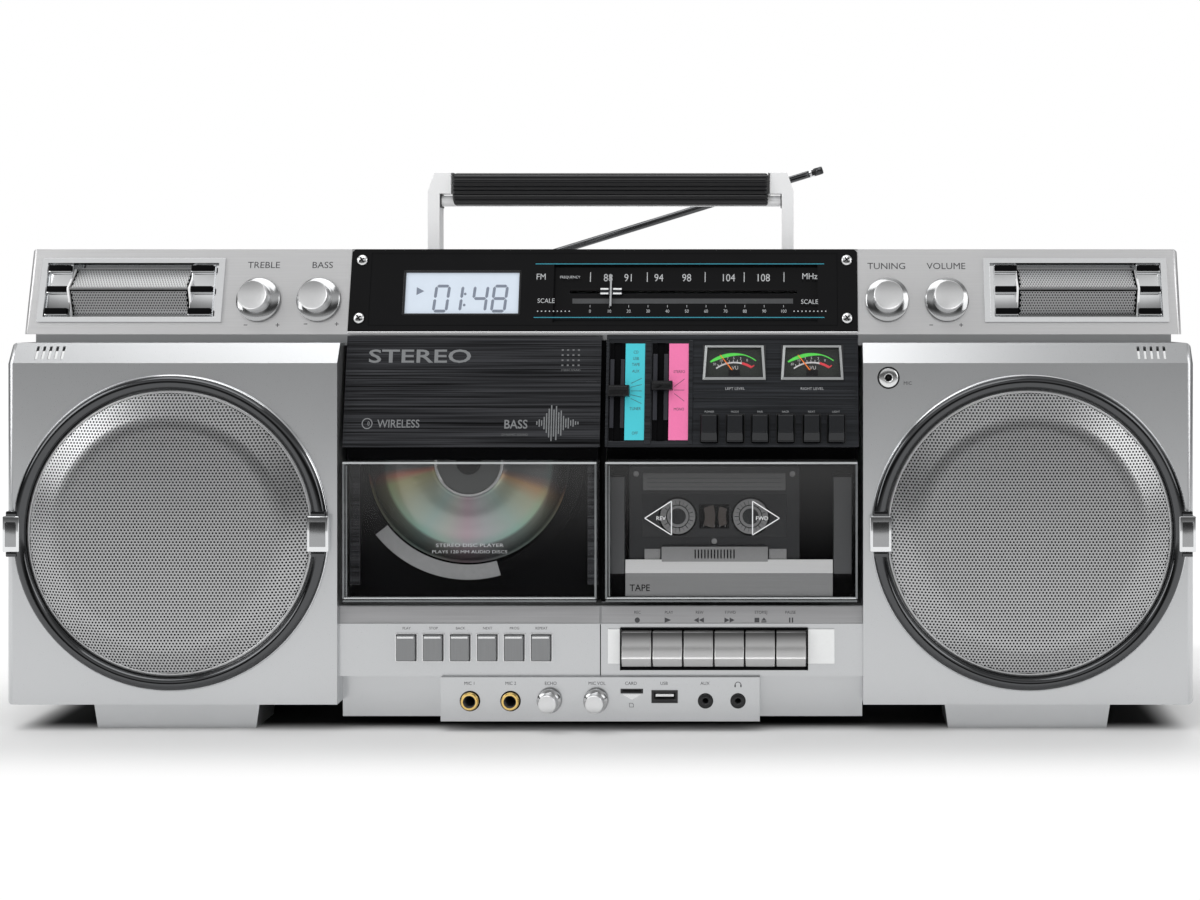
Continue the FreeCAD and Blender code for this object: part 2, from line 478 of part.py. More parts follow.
# ---- tape door, its holder, the cassette and the reel spindles ---------------------------------
tw = extr("tape_window_blank", [(1.2, door_lo), (0.0, door_lo + 1.4), (0.0, door_hi - 0.8), (0.8, door_hi), (door_t, door_hi), (door_t, door_lo)], 2.7, 150.8)
node("tape_door_window", cut("tape_window_cut", tw, block("tape_window_space", 5.7, 147.8, 3.0, door_t + 1, 78.2, 155.6)))
cr = [block("holder_plate", 3.2, 150.3, 17.0, 18.6, 79.0, 157.5), block("holder_side_l", 6.2, 14.6, 4.0, 17.1, 90.0, 150.0),
      block("holder_side_r", 136.6, 147.4, 4.0, 17.1, 90.0, 150.0), block("holder_ledge_l", 17.0, 50.0, 5.5, 17.1, 87.6, 90.8),
      block("holder_ledge_r", 83.0, 116.0, 5.5, 17.1, 87.6, 90.8)]
cr_c = [rod("holder_hole_a", "y", hub_xa, 16.0, hub_z, 7.4, 4.0), rod("holder_hole_b", "y", hub_xb, 16.0, hub_z, 7.4, 4.0),
        block("holder_head_gap", 52.0, 81.0, 16.0, 20.0, 78.0, 92.0)]
node("tape_door_carrier", cut("holder_cut", fuse("holder_blank", *cr), *cr_c))
ca = plate("cassette_body", [(16.3, 91.2), (16.3, 153.6), (17.6, 154.9), (115.4, 154.9), (116.7, 153.6), (116.7, 91.2)], 6.0, 14.7)
rounded(ca, 0.6, lambda m, e: m.y < front_y.v + 6.01, "cassette_edge")
ca2 = plate("cassette_head_part", [(32.0, 91.2), (36.5, 108.5), (96.5, 108.5), (101.0, 91.2)], 4.3, 16.4)
node("cassette", cut("cassette_cut", fuse("cassette_all", ca, ca2), rod("cassette_hub_a", "y", hub_xa, 3.0, hub_z, 4.7, 16.0),
                     rod("cassette_hub_b", "y", hub_xb, 3.0, hub_z, 4.7, 16.0), rod("cassette_capstan_a", "y", 40.0, 3.0, 97.5, 2.6, 16.0),
                     rod("cassette_capstan_b", "y", 93.0, 3.0, 97.5, 2.6, 16.0)))
for k, x in (("left", hub_xa), ("right", hub_xb)):
    node("reel_spindle_" + k, turned("spindle_%s" % k, [(0, 9.0), (1.4, 9.2), (2.9, 11.2), (2.9, 17.2), (3.0, 17.4), (3.0, 38.0), (0, 38.0)], x, 0.0, hub_z))
td = [block("tape_chassis", 2.4, 151.2, 21.0, 23.0, 74.5, 164.5), block("tape_mechanism", 14.0, 138.0, 23.0, 45.0, 82.0, 148.0),
      rod("tape_motor", "y", 112.0, 45.0, 100.0, 16.0, 30.0), rod("tape_flywheel", "y", 60.0, 46.0, 110.0, 22.0, 8.0),
      rod("flywheel_shaft", "y", 60.0, 40.0, 110.0, 2.0, 22.0), block("tape_head", 58.0, 75.0, 18.9, 21.0, 79.0, 88.0),
      block("key_rail", 14.0, 119.0, 23.0, 30.0, 74.5, 84.0)]
td_c = [rod("spindle_hole_a", "y", hub_xa, 20.0, hub_z, 3.0 + pin_gap, 20.0), rod("spindle_hole_b", "y", hub_xb, 20.0, hub_z, 3.0 + pin_gap, 20.0)]
node("tape_deck", cut("tape_deck_cut", fuse("tape_deck_all", *td), *td_c))

# ---- disc door, disc and its mechanism ------------------------------------------------------------
cw = extr("disc_window_blank", [(1.2, door_lo), (0.0, door_lo + 1.4), (0.0, door_hi - 0.8), (0.8, door_hi), (13.0, door_hi), (13.0, door_lo)], -151.0, -1.9)
node("cd_door_window", cut("disc_window_cut", cw, block("disc_window_space", -148.0, -4.9, 3.0, 14.0, 78.2, 155.6)))
YOFF[0] = ZERO
cp = on_panel(plate("disc_plate", [(-151.4, 0.0), (-151.4, H_TOP), (-0.6, H_TOP), (-0.6, 0.0)], 0.0, 2.6))
YOFF[0] = front_y
arms = []
for k, (a, b) in {"l": (-150.0, -144.0), "r": (-9.0, -3.0)}.items():
    arms += [block("disc_door_arm_" + k, a, b, 13.0, 15.0, 84.0, 205.0), block("disc_door_pad_" + k, a, b, 8.4, 15.0, 196.0, 205.0)]
node("cd_door_plate", fuse("disc_door_frame", cp, *arms))
node("compact_disc", turned("disc_turn", [(7.5, 17.0), (60.0, 17.0), (60.0, 18.2), (7.5, 18.2)], disc_x, 0.0, disc_z))
cdk = [block("disc_chassis", -151.2, -1.6, 21.0, 23.0, 74.5, 226.0),
       turned("disc_hub", [(0, 15.8), (6.0, 15.8), (7.42, 16.8), (7.42, 18.6), (13.0, 18.6), (13.0, 21.5), (0, 21.5)], disc_x, 0.0, disc_z),
       turned("disc_well", [(62.0, 16.4), (69.0, 16.4), (69.0, 21.5), (62.0, 21.5)], disc_x, 0.0, disc_z),
       block("disc_mechanism", -125.0, -38.0, 23.0, 48.0, 112.0, 200.0), rod("disc_motor", "y", disc_x, 48.0, disc_z, 13.0, 14.0)]
node("cd_deck", fuse("cd_deck_all", *cdk))

# ---- handle -----------------------------------------------------------------------------------------
hf = plate("handle_arm_plate", [(106.1, 268.5), (106.1, 332.3), (109.5, 332.3), (113.5, 320.5), (113.5, 268.5)], 55.5, 67.5)
rounded(hf, 5.0, lambda m, e: abs(m.z - 268.5) < 0.01 and abs(m.x - 109.8) < 1, "handle_arm_end")
hr = fuse("handle_half", hf, block("handle_lug", 97.7, 106.2, 55.5, 67.5, 319.2, 332.3), rod("handle_pin", "x", 113.4, piv_d, piv_z, 3.0, 7.8))
core = block("handle_core", -97.8, 97.8, 58.5, 64.5, 322.0, 329.5)
hbar = rod("handle_rod", "x", -106.2, 61.5, 314.9, 3.4, 212.4)
node("handle_frame", fuse("handle_frame_all", hr, mirror("handle_half_m", hr), core, hbar))
hg = extr("handle_grip_blank", [(51.5, 316.0), (51.5, 328.3), (55.0, 332.3), (68.0, 332.3), (71.5, 328.3), (71.5, 316.0), (68.5, 311.7), (54.5, 311.7)], -97.5, 97.5)
rounded(hg, 1.2, lambda m, e: abs(m.x) < 1 and e.Length > 100, "handle_grip_edge")
node("handle_grip", cut("handle_grip_cut", hg, block("handle_core_space", -98.0, 98.0, 58.5, 64.5, 322.0, 329.5),
                        rod("handle_rod_space", "x", -99.0, 61.5, 314.9, 3.4, 198.0), block("handle_rod_slot", -99.0, 99.0, 58.1, 64.9, 311.0, 314.9)))

# ---- antenna ----------------------------------------------------------------------------------------
YOFF[0] = ZERO
A = 17.1
stem = turned("antenna_stem", [(0, -26.0), (4.0, -26.0), (4.0, -19.4), (9.0, -19.4), (9.0, -16.2), (7.5, -15.0), (0, -15.0)], 0.0, 0.0, 0.0, plane="XZ_Plane")
yoke = cut("antenna_yoke_cut", fuse("antenna_yoke", block("yoke_front", -4.2, 4.2, -5.0, -2.8, -15.5, 3.6), block("yoke_back", -4.2, 4.2, 2.8, 5.0, -15.5, 3.6)),
           rod("yoke_hole", "y", 0.0, -6.0, 0.0, 1.5 + pin_gap, 12.0))
ab = fuse("antenna_base_all", stem, yoke)
tube = turned("antenna_tube", [(1.75, 12.0), (1.75, 200.0), (2.4, 200.0), (2.4, 3.0), (0, 3.0), (0, 12.0)], 0.0, 0.0, 0.0, plane="XZ_Plane")
tng = rod("antenna_tongue", "y", 0.0, -2.3, 0.0, 3.4, 4.6)
tpin = rod("antenna_pin", "y", 0.0, -5.0, 0.0, 1.5, 10.0)
ot = fuse("antenna_outer_all", tube, tng, tpin)
it = turned("antenna_inner", [(0, 14.0), (1.7, 14.0), (1.7, 200.6), (2.7, 200.6), (2.7, 205.2), (2.2, 206.0), (0, 206.0)], 0.0, 0.0, 0.0, plane="XZ_Plane")
its = group("antenna_inner_set", it)
YOFF[0] = front_y
for n, o, r in (("antenna_base", ab, 0.0), ("antenna_outer_tube", ot, 90 - A), ("antenna_inner_tube", its, 90 - A)):
    o.Placement = FreeCAD.Placement(V(0, 0, 0), FreeCAD.Rotation(V(0, 1, 0), r))
    base(o, ant_x, front_y + ant_d, ant_z)
    node(n, o)

# ---- battery door, boards and screws ---------------------------------------------------------------------
bd = fuse("battery_door_all", block("battery_cover", -77.1, 77.1, 172.3, rear_d, 39.2, 111.2), block("battery_rib_a", -60.0, 60.0, 166.5, 172.4, 70.0, 73.0),
          block("battery_rib_b", -60.0, 60.0, 166.5, 172.4, 84.0, 87.0))
node("battery_door", cut("battery_door_cut", bd, block("battery_finger_groove", -14.0, 14.0, 173.5, 176.0, 101.0, 106.0)))
mb = [block("board", -140.0, 140.0, 100.0, 101.6, 120.0, 215.0), block("heat_sink", 60.0, 130.0, 101.6, 121.0, 140.0, 205.0),
      block("tuner_can", -120.0, -80.0, 92.0, 100.0, 150.0, 200.0), block("chip", -30.0, 0.0, 101.6, 105.6, 160.0, 190.0),
      rod("capacitor_a", "y", 30.0, 101.6, 150.0, 8.0, 25.0), rod("capacitor_b", "y", 10.0, 101.6, 150.0, 6.0, 20.0)]
tr = group("transformer", block("transformer_core", 172.0, 222.0, 110.0, 150.0, 20.0, 62.0))
node("boards_and_display", group("board_set", fuse("board_all", *mb), tr, display))
YOFF[0] = ZERO
sc = []
for i, (x, z) in enumerate([(-145.0, 276.7), (145.0, 276.7), (-145.0, 242.0), (145.0, 242.0)]):
    sc.append(turned("dial_screw_%d" % i, [(0, -2.2), (2.2, -2.2), (3.3, -1.5), (3.3, -0.8), (0, -0.8)], x, 0.0, ch(z)))
dsc = on_console(group("dial_screws", *sc))
YOFF[0] = front_y
rsc = [turned("rear_screw_%d" % i, [(0, 172.7), (3.6, 172.7), (3.6, 173.6), (2.4, 174.3), (0, 174.3)], float(x), 0.0, float(z)) for i, (x, z) in enumerate(RS)]
node("screws", group("screw_set", dsc, *rsc))

# ---- recompute, check and write -----------------------------------------------------------------------------
round_all()
doc.recompute()
bad = [o.Label for o in doc.Objects if "Invalid" in o.State or "Error" in o.State]
assert not bad, bad
assert len(NODES) <= 60, len(NODES)
os.makedirs("parts", exist_ok=True)
for n, o in sorted(NODES.items()):
    s = o.Shape
    assert not s.isNull() and s.isValid(), n
    assert s.Solids and all(x.Volume > 0 for x in s.Solids), n
for n, o in sorted(NODES.items()):
    o.Shape.exportStep("parts/%s.step" % n)
    b = o.Shape.BoundBox
    print("%-24s solids %d  X %.1f..%.1f  Y %.1f..%.1f  Z %.1f..%.1f  V %.0f" % (n, len(o.Shape.Solids), b.XMin, b.XMax, b.YMin, b.YMax, b.ZMin, b.ZMax, o.Shape.Volume))
print(len(NODES), "nodes")
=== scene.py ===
import bmesh
import bpy
import math
import numpy as np
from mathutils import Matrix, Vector


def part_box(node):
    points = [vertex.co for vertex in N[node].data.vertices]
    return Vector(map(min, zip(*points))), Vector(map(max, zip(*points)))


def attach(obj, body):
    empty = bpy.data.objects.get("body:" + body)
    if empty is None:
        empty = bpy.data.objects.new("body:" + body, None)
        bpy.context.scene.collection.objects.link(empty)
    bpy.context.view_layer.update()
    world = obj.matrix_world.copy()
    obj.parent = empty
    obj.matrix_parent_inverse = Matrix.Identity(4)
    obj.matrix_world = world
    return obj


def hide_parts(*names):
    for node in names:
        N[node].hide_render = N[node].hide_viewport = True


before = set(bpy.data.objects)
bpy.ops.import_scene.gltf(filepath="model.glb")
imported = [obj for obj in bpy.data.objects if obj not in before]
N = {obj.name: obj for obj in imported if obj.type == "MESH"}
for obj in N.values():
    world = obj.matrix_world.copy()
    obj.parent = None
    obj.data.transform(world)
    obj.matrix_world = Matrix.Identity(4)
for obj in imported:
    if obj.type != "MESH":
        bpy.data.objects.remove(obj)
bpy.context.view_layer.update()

# Millimetres in, metres out. d is the setback behind the cabinets' front plane.
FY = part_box("cd_door_window")[0].y * 1000
T1 = math.atan2(24.7 - 13.2, 283.5 - 232.6)
T2 = math.radians(9.7)


def G(x, d, z):
    return Vector((x, FY + d, z)) * 0.001


def C(x, d, z):
    """On the console face: z is the height above the floor of the point on the face, d goes into it."""
    h = (z - 232.6) / math.cos(T1)
    return Vector((x, FY + 13.2 + h * math.sin(T1) + d * math.cos(T1), 232.6 + h * math.cos(T1) - d * math.sin(T1))) * 0.001


def P(x, d, z):
    h = (z - 166.7) / math.cos(T2)
    return Vector((x, FY + 2.0 + h * math.sin(T2) + d * math.cos(T2), 166.7 + h * math.cos(T2) - d * math.sin(T2))) * 0.001


# ---- materials ----------------------------------------------------------------
def mat(name, base, rough=0.4, metal=0.0, var=0.05, scale=(900, 900, 900), detail=3.0, rvar=0.05, bump=0.0, bdist=0.0001, coat=0.0, crough=0.05, spec=0.5,
        alpha=1.0, emit=None, es=0.0, con=0.0, big=0.0):
    """A principled material whose colour and roughness vary with a noise at the given scale (per metre), with a matching bump."""
    m = bpy.data.materials.new(name)
    m.use_nodes = True
    nt = m.node_tree
    b = nt.nodes["Principled BSDF"]
    b.inputs["Metallic"].default_value = metal
    b.inputs["Specular IOR Level"].default_value = spec
    b.inputs["Alpha"].default_value = alpha
    b.inputs["Coat Weight"].default_value = coat
    b.inputs["Coat Roughness"].default_value = crough
    tc = nt.nodes.new("ShaderNodeTexCoord")
    mp = nt.nodes.new("ShaderNodeMapping")
    mp.inputs["Scale"].default_value = scale
    nt.links.new(tc.outputs["Object"], mp.inputs["Vector"])
    nz = nt.nodes.new("ShaderNodeTexNoise")
    nz.inputs["Scale"].default_value = 1.0
    nz.inputs["Detail"].default_value = detail
    nt.links.new(mp.outputs["Vector"], nz.inputs["Vector"])
    mx = nt.nodes.new("ShaderNodeMix")
    mx.data_type = "RGBA"
    lo = [max(0.0, c * (1 - var)) for c in base]
    hi = [min(1.0, c * (1 + var)) for c in base]
    mx.inputs["A"].default_value = (*lo, 1)
    mx.inputs["B"].default_value = (*hi, 1)
    fac = nz.outputs["Fac"]
    if con:
        cr = nt.nodes.new("ShaderNodeMapRange")
        cr.inputs["From Min"].default_value = 0.5 - con / 2
        cr.inputs["From Max"].default_value = 0.5 + con / 2
        nt.links.new(fac, cr.inputs["Value"])
        fac = cr.outputs["Result"]
    nt.links.new(fac, mx.inputs["Factor"])
    col = mx.outputs["Result"]
    if big:
        n2 = nt.nodes.new("ShaderNodeTexNoise")
        n2.inputs["Scale"].default_value = 14.0
        n2.inputs["Detail"].default_value = 2.0
        nt.links.new(tc.outputs["Object"], n2.inputs["Vector"])
        m2 = nt.nodes.new("ShaderNodeMix")
        m2.data_type = "RGBA"
        m2.blend_type = "MULTIPLY"
        m2.inputs["B"].default_value = (1 - big, 1 - big, 1 - big, 1)
        nt.links.new(n2.outputs["Fac"], m2.inputs["Factor"])
        nt.links.new(col, m2.inputs["A"])
        col = m2.outputs["Result"]
    nt.links.new(col, b.inputs["Base Color"])
    mr = nt.nodes.new("ShaderNodeMapRange")
    mr.inputs["To Min"].default_value = max(0.0, rough - rvar)
    mr.inputs["To Max"].default_value = min(1.0, rough + rvar)
    nt.links.new(nz.outputs["Fac"], mr.inputs["Value"])
    nt.links.new(mr.outputs["Result"], b.inputs["Roughness"])
    if bump:
        bp = nt.nodes.new("ShaderNodeBump")
        bp.inputs["Strength"].default_value = bump
        bp.inputs["Distance"].default_value = bdist
        nt.links.new(nz.outputs["Fac"], bp.inputs["Height"])
        nt.links.new(bp.outputs["Normal"], b.inputs["Normal"])
    if emit:
        b.inputs["Emission Color"].default_value = (*emit, 1)
        b.inputs["Emission Strength"].default_value = es
    m.diffuse_color = (*base, alpha)
    return m


SILVER = mat("satin_silver", (0.60, 0.61, 0.62), 0.28, 0.88, var=0.03, scale=(2600,) * 3, rvar=0.015, big=0.07)
SILVER_C = mat("satin_silver_console", (0.70, 0.70, 0.705), 0.32, 0.8, var=0.06, scale=(22, 1600, 1600), rvar=0.05, bump=0.05, bdist=0.00004, big=0.05)
BAND = mat("brushed_band", (0.54, 0.54, 0.55), 0.38, 0.8, var=0.12, scale=(18, 1500, 1500), rvar=0.06, bump=0.08, bdist=0.00004)
BUTTON_TOP_PAINTED_HIGHLIGHT = mat("key_silver", (0.86, 0.865, 0.87), 0.20, 0.85, var=0.03, scale=(900, 40, 40), rvar=0.03)
# painted reflection: the buttons get a darker grey than the silver round them, standing in for the darker reflection
# their faces catch
BTN = mat("button_grey", (0.25, 0.255, 0.26), 0.36, 0.6, var=0.08, scale=(1200, 40, 60), rvar=0.05, bump=0.03, bdist=0.00003)
WHITE = mat("white_plate", (0.82, 0.83, 0.83), 0.35, 0.1, var=0.03, scale=(700,) * 3)
CHROME = mat("chrome", (0.78, 0.79, 0.80), 0.07, 1.0, var=0.03, scale=(300,) * 3, rvar=0.025)
CHROME_S = mat("satin_chrome", (0.74, 0.745, 0.75), 0.2, 1.0, var=0.05, scale=(1400, 1400, 60), rvar=0.05, bump=0.04, bdist=0.00003)
MESH_SHADE_AND_BARS = mat("tweeter_mesh", (0.27, 0.272, 0.275), 0.30, 0.9, var=0.12, scale=(1500,) * 3, rvar=0.08)
KNOBM = mat("knob_face", (0.74, 0.745, 0.75), 0.30, 0.85, var=0.02, scale=(700,) * 3, rvar=0.02)
KFLAN = mat("knob_flange", (0.42, 0.425, 0.43), 0.14, 1.0, var=0.03, scale=(300,) * 3, rvar=0.02)
HANDM = mat("handle_silver", (0.88, 0.885, 0.89), 0.36, 0.1, var=0.04, scale=(1400,) * 3, rvar=0.05)
# a lighter copy of the tweeter mesh: painted light for the facet that faces up
MESH_PAINTED_LIT = mat("tweeter_mesh_upper", (0.58, 0.585, 0.59), 0.34, 0.8, var=0.12, scale=(1500,) * 3, rvar=0.08)
MESHM = mat("perforated_steel", (0.48, 0.485, 0.49), 0.30, 0.9, var=0.10, scale=(1500,) * 3, rvar=0.08, bump=0.05, bdist=0.00003)
CLIPM = mat("clip_chrome", (0.34, 0.345, 0.35), 0.14, 1.0, var=0.06, scale=(300,) * 3, rvar=0.03)
RINGM = mat("ring_dark_chrome", (0.085, 0.087, 0.09), 0.10, 1.0, var=0.04, scale=(300,) * 3, rvar=0.03)
BLACK = mat("moulded_black", (0.018, 0.018, 0.02), 0.42, 0.0, var=0.25, scale=(1800,) * 3, rvar=0.08, bump=0.12, bdist=0.00005)
DEEP = mat("deep_black", (0.0025, 0.0025, 0.003), 0.6, 0.0, var=0.2, scale=(900,) * 3, spec=0.04)
CONE = mat("speaker_cone", (0.03, 0.03, 0.032), 0.7, 0.0, var=0.3, scale=(700,) * 3, bump=0.3, bdist=0.0002)
GLOSS = mat("dial_gloss", (0.0045, 0.0045, 0.005), 0.14, 0.0, var=0.2, scale=(60,) * 3, rvar=0.03, spec=0.12)
BRUSH = mat("brushed_black", (0.042, 0.043, 0.047), 0.34, 0.7, var=0.85, scale=(9, 1050, 1050), detail=6.0, rvar=0.16, bump=0.5, bdist=0.00012, spec=0.2, con=0.36)
BRUSH2 = mat("brushed_graphite", (0.024, 0.026, 0.030), 0.4, 0.6, con=0.4, var=0.6, scale=(12, 1000, 1000), detail=4.0, rvar=0.08, bump=0.2, bdist=0.00006)
SWITCH = mat("switch_black", (0.004, 0.004, 0.005), 0.3, 0.0, var=0.25, scale=(900,) * 3, rvar=0.06, bump=0.04)
BTNK = mat("button_black", (0.008, 0.009, 0.011), 0.30, 0.1, var=0.2, scale=(1500, 1500, 300), rvar=0.06, bump=0.1, bdist=0.00004)
SMOKE = mat("smoked_window", (0.030, 0.031, 0.033), 0.04, 0.0, var=0.2, scale=(40,) * 3, rvar=0.02, alpha=0.11, spec=0.28)
# painted highlight and painted shade for the glass edges: a pale and a dark copy of one clear material
EDGE_PAINTED_HIGHLIGHT = mat("polished_edge", (0.62, 0.64, 0.65), 0.08, 0.2, var=0.2, scale=(30, 300, 300), rvar=0.03, alpha=0.75, spec=0.9)
EDGE_PAINTED_SHADE = mat("polished_edge_dark", (0.16, 0.17, 0.175), 0.08, 0.3, var=0.3, scale=(60, 300, 300), rvar=0.03, alpha=0.85, spec=0.9)
INK = mat("ink_grey", (0.05, 0.05, 0.055), 0.6, 0.0, var=0.2, scale=(2000,) * 3)
INKW = mat("ink_white", (0.80, 0.81, 0.82), 0.5, 0.0, var=0.06, scale=(2000,) * 3)
INKG = mat("ink_pale", (0.42, 0.43, 0.44), 0.45, 0.2, var=0.1, scale=(2000,) * 3)
INKN = mat("ink_numbers", (0.47, 0.48, 0.49), 0.45, 0.0, var=0.06, scale=(2000,) * 3)
INKS = mat("ink_silver", (0.30, 0.31, 0.32), 0.35, 0.6, var=0.1, scale=(2000,) * 3)
# the teal ink is given a faint glow: painted light
TEAL = mat("ink_teal", (0.02, 0.20, 0.26), 0.4, 0.0, var=0.1, scale=(2000,) * 3, emit=(0.02, 0.25, 0.34), es=0.25)
# the printed cyan and pink strips are given a faint glow: painted light
CYAN = mat("strip_cyan", (0.05, 0.52, 0.60), 0.5, 0.0, var=0.05, scale=(900,) * 3, emit=(0.05, 0.6, 0.7), es=0.07)
PINK = mat("strip_pink", (0.80, 0.17, 0.38), 0.5, 0.0, var=0.05, scale=(900,) * 3, emit=(0.9, 0.2, 0.42), es=0.07)
# the meter's green and red prints and the needle are given a glow: painted light
GREEN = mat("meter_green", (0.12, 0.75, 0.10), 0.5, 0.0, var=0.15, scale=(900,) * 3, emit=(0.1, 0.8, 0.1), es=0.35)
REDM = mat("meter_red", (0.75, 0.06, 0.08), 0.5, 0.0, var=0.1, scale=(900,) * 3, emit=(0.8, 0.05, 0.06), es=0.2)
ORANGE = mat("needle_orange", (0.90, 0.22, 0.02), 0.45, 0.0, var=0.08, scale=(900,) * 3, emit=(0.9, 0.2, 0.02), es=0.3)
LCDM = mat("lit_display", (0.42, 0.47, 0.53), 0.25, 0.0, var=0.05, scale=(160, 160, 160), emit=(0.60, 0.67, 0.76), es=0.42)
LCDI = mat("display_ink", (0.20, 0.23, 0.29), 0.4, 0.0, var=0.1, scale=(900,) * 3)
BRASS = mat("brass_rim", (0.83, 0.58, 0.20), 0.16, 1.0, var=0.06, scale=(900,) * 3, rvar=0.04)
GRIP = mat("grip_rubber", (0.006, 0.006, 0.007), 0.34, 0.0, spec=0.35, var=0.25, scale=(160, 2200, 2200), rvar=0.08, bump=0.1, bdist=0.00005)
CASS = mat("cassette_smoke", (0.018, 0.019, 0.021), 0.32, 0.0, var=0.15, scale=(1800,) * 3, rvar=0.03, bump=0.01, bdist=0.00003, spec=0.3)
CASS_L = mat("cassette_label", (0.10, 0.102, 0.104), 0.4, 0.1, var=0.1, scale=(20, 700, 700), rvar=0.05)
CASS_G = mat("cassette_grey", (0.22, 0.222, 0.225), 0.4, 0.2, var=0.1, scale=(700,) * 3)
TAPEP = mat("tape_pack", (0.05, 0.04, 0.035), 0.3, 0.0, var=0.3, scale=(1500,) * 3)
SPIN = mat("spindle_plastic", (0.20, 0.20, 0.20), 0.4, 0.0, var=0.08, scale=(700,) * 3)
PCB = mat("circuit_board", (0.03, 0.12, 0.05), 0.45, 0.0, var=0.3, scale=(500,) * 3, bump=0.2)
HOLDER = mat("holder_grey", (0.055, 0.057, 0.06), 0.5, 0.0, var=0.1, scale=(900,) * 3, bump=0.05)
TPLATE = mat("tape_plate", (0.24, 0.243, 0.246), 0.36, 0.6, var=0.12, scale=(12, 1300, 1300), rvar=0.05, bump=0.1, bdist=0.00004)
# a lighter copy of the tape plate material: painted highlight for the face that slopes up
TPLATE_PAINTED_LIT = mat("tape_plate_light", (0.78, 0.785, 0.79), 0.3, 0.5, var=0.06, scale=(12, 1300, 1300), rvar=0.05)
ARC = mat("well_arc", (0.27, 0.274, 0.278), 0.35, 0.5, var=0.15, scale=(400,) * 3, rvar=0.06, bump=0.1)


def disc_painted_reflection_material():
    """A pressed disc with painted reflection: bands of rainbow and grey that turn with the angle stand in for the light
    its surface throws back; on a mirror, with a darker outer zone.
    """
    m = bpy.data.materials.new("pressed_disc")
    m.use_nodes = True
    nt = m.node_tree
    b = nt.nodes["Principled BSDF"]
    b.inputs["Metallic"].default_value = 0.25
    b.inputs["Coat Weight"].default_value = 0.4
    tc = nt.nodes.new("ShaderNodeTexCoord")
    mp = nt.nodes.new("ShaderNodeMapping")
    mp.inputs["Location"].default_value = (0.0803, 0.0, -0.1565)
    nt.links.new(tc.outputs["Object"], mp.inputs["Vector"])
    sp = nt.nodes.new("ShaderNodeSeparateXYZ")
    nt.links.new(mp.outputs["Vector"], sp.inputs["Vector"])

    def op(kind, a, c=None):
        n = nt.nodes.new("ShaderNodeMath")
        n.operation = kind
        for i, v in enumerate((a, c)):
            if v is None:
                continue
            if isinstance(v, (int, float)):
                n.inputs[i].default_value = v
            else:
                nt.links.new(v, n.inputs[i])
        return n.outputs[0]

    ang = op("DIVIDE", op("ARCTAN2", sp.outputs["Z"], sp.outputs["X"]), math.tau)
    ang = op("FRACT", op("ADD", ang, 1.0))
    rad = op("SQRT", op("ADD", op("MULTIPLY", sp.outputs["X"], sp.outputs["X"]), op("MULTIPLY", sp.outputs["Z"], sp.outputs["Z"])))
    rr = op("DIVIDE", rad, 0.060)

    def ramp(fac, stops):
        r = nt.nodes.new("ShaderNodeValToRGB")
        e = r.color_ramp.elements
        while len(e) > 1:
            e.remove(e[-1])
        e[0].position, e[0].color = stops[0][0], (*stops[0][1], 1)
        for p, c in stops[1:]:
            x = e.new(p)
            x.color = (*c, 1)
        nt.links.new(fac, r.inputs["Fac"])
        return r.outputs["Color"]

    # the bands by angle are painted reflection: the rainbow and grey sheen a disc throws back
    g = (0.16, 0.17, 0.17)
    a = ramp(ang, [(0.0, g), (0.12, (0.10, 0.10, 0.11)), (0.30, (0.30, 0.31, 0.33)), (0.42, (0.12, 0.12, 0.13)), (0.515, g), (0.53, (0.80, 0.30, 0.20)), (0.545, (0.74, 0.70, 0.36)),
                   (0.60, (0.66, 0.74, 0.58)), (0.66, (0.56, 0.74, 0.68)), (0.70, (0.70, 0.74, 0.68)), (0.745, (0.76, 0.58, 0.66)), (0.79, (0.68, 0.70, 0.72)),
                   (0.85, (0.58, 0.76, 0.68)), (0.91, (0.72, 0.76, 0.54)), (0.94, (0.84, 0.52, 0.26)), (0.955, (0.35, 0.22, 0.18)), (0.97, g), (1.0, g)])
    k = ramp(rr, [(0.0, (0.05,) * 3), (0.34, (0.10,) * 3), (0.36, (0.68,) * 3), (0.38, (0.50,) * 3), (0.74, (0.60,) * 3), (0.82, (0.50, 0.64, 0.60)), (0.85, (0.20,) * 3), (0.97, (0.06,) * 3), (1.0, (0.3,) * 3)])
    mx = nt.nodes.new("ShaderNodeMix")
    mx.data_type = "RGBA"
    mx.blend_type = "MULTIPLY"
    mx.inputs["Factor"].default_value = 1.0
    nt.links.new(a, mx.inputs["A"])
    nt.links.new(k, mx.inputs["B"])
    nt.links.new(mx.outputs["Result"], b.inputs["Base Color"])
    wv = nt.nodes.new("ShaderNodeTexNoise")
    wv.inputs["Scale"].default_value = 900.0
    nt.links.new(tc.outputs["Object"], wv.inputs["Vector"])
    mr = nt.nodes.new("ShaderNodeMapRange")
    mr.inputs["To Min"].default_value = 0.18
    mr.inputs["To Max"].default_value = 0.28
    nt.links.new(wv.outputs["Fac"], mr.inputs["Value"])
    nt.links.new(mr.outputs["Result"], b.inputs["Roughness"])
    return m


DISC = disc_painted_reflection_material()


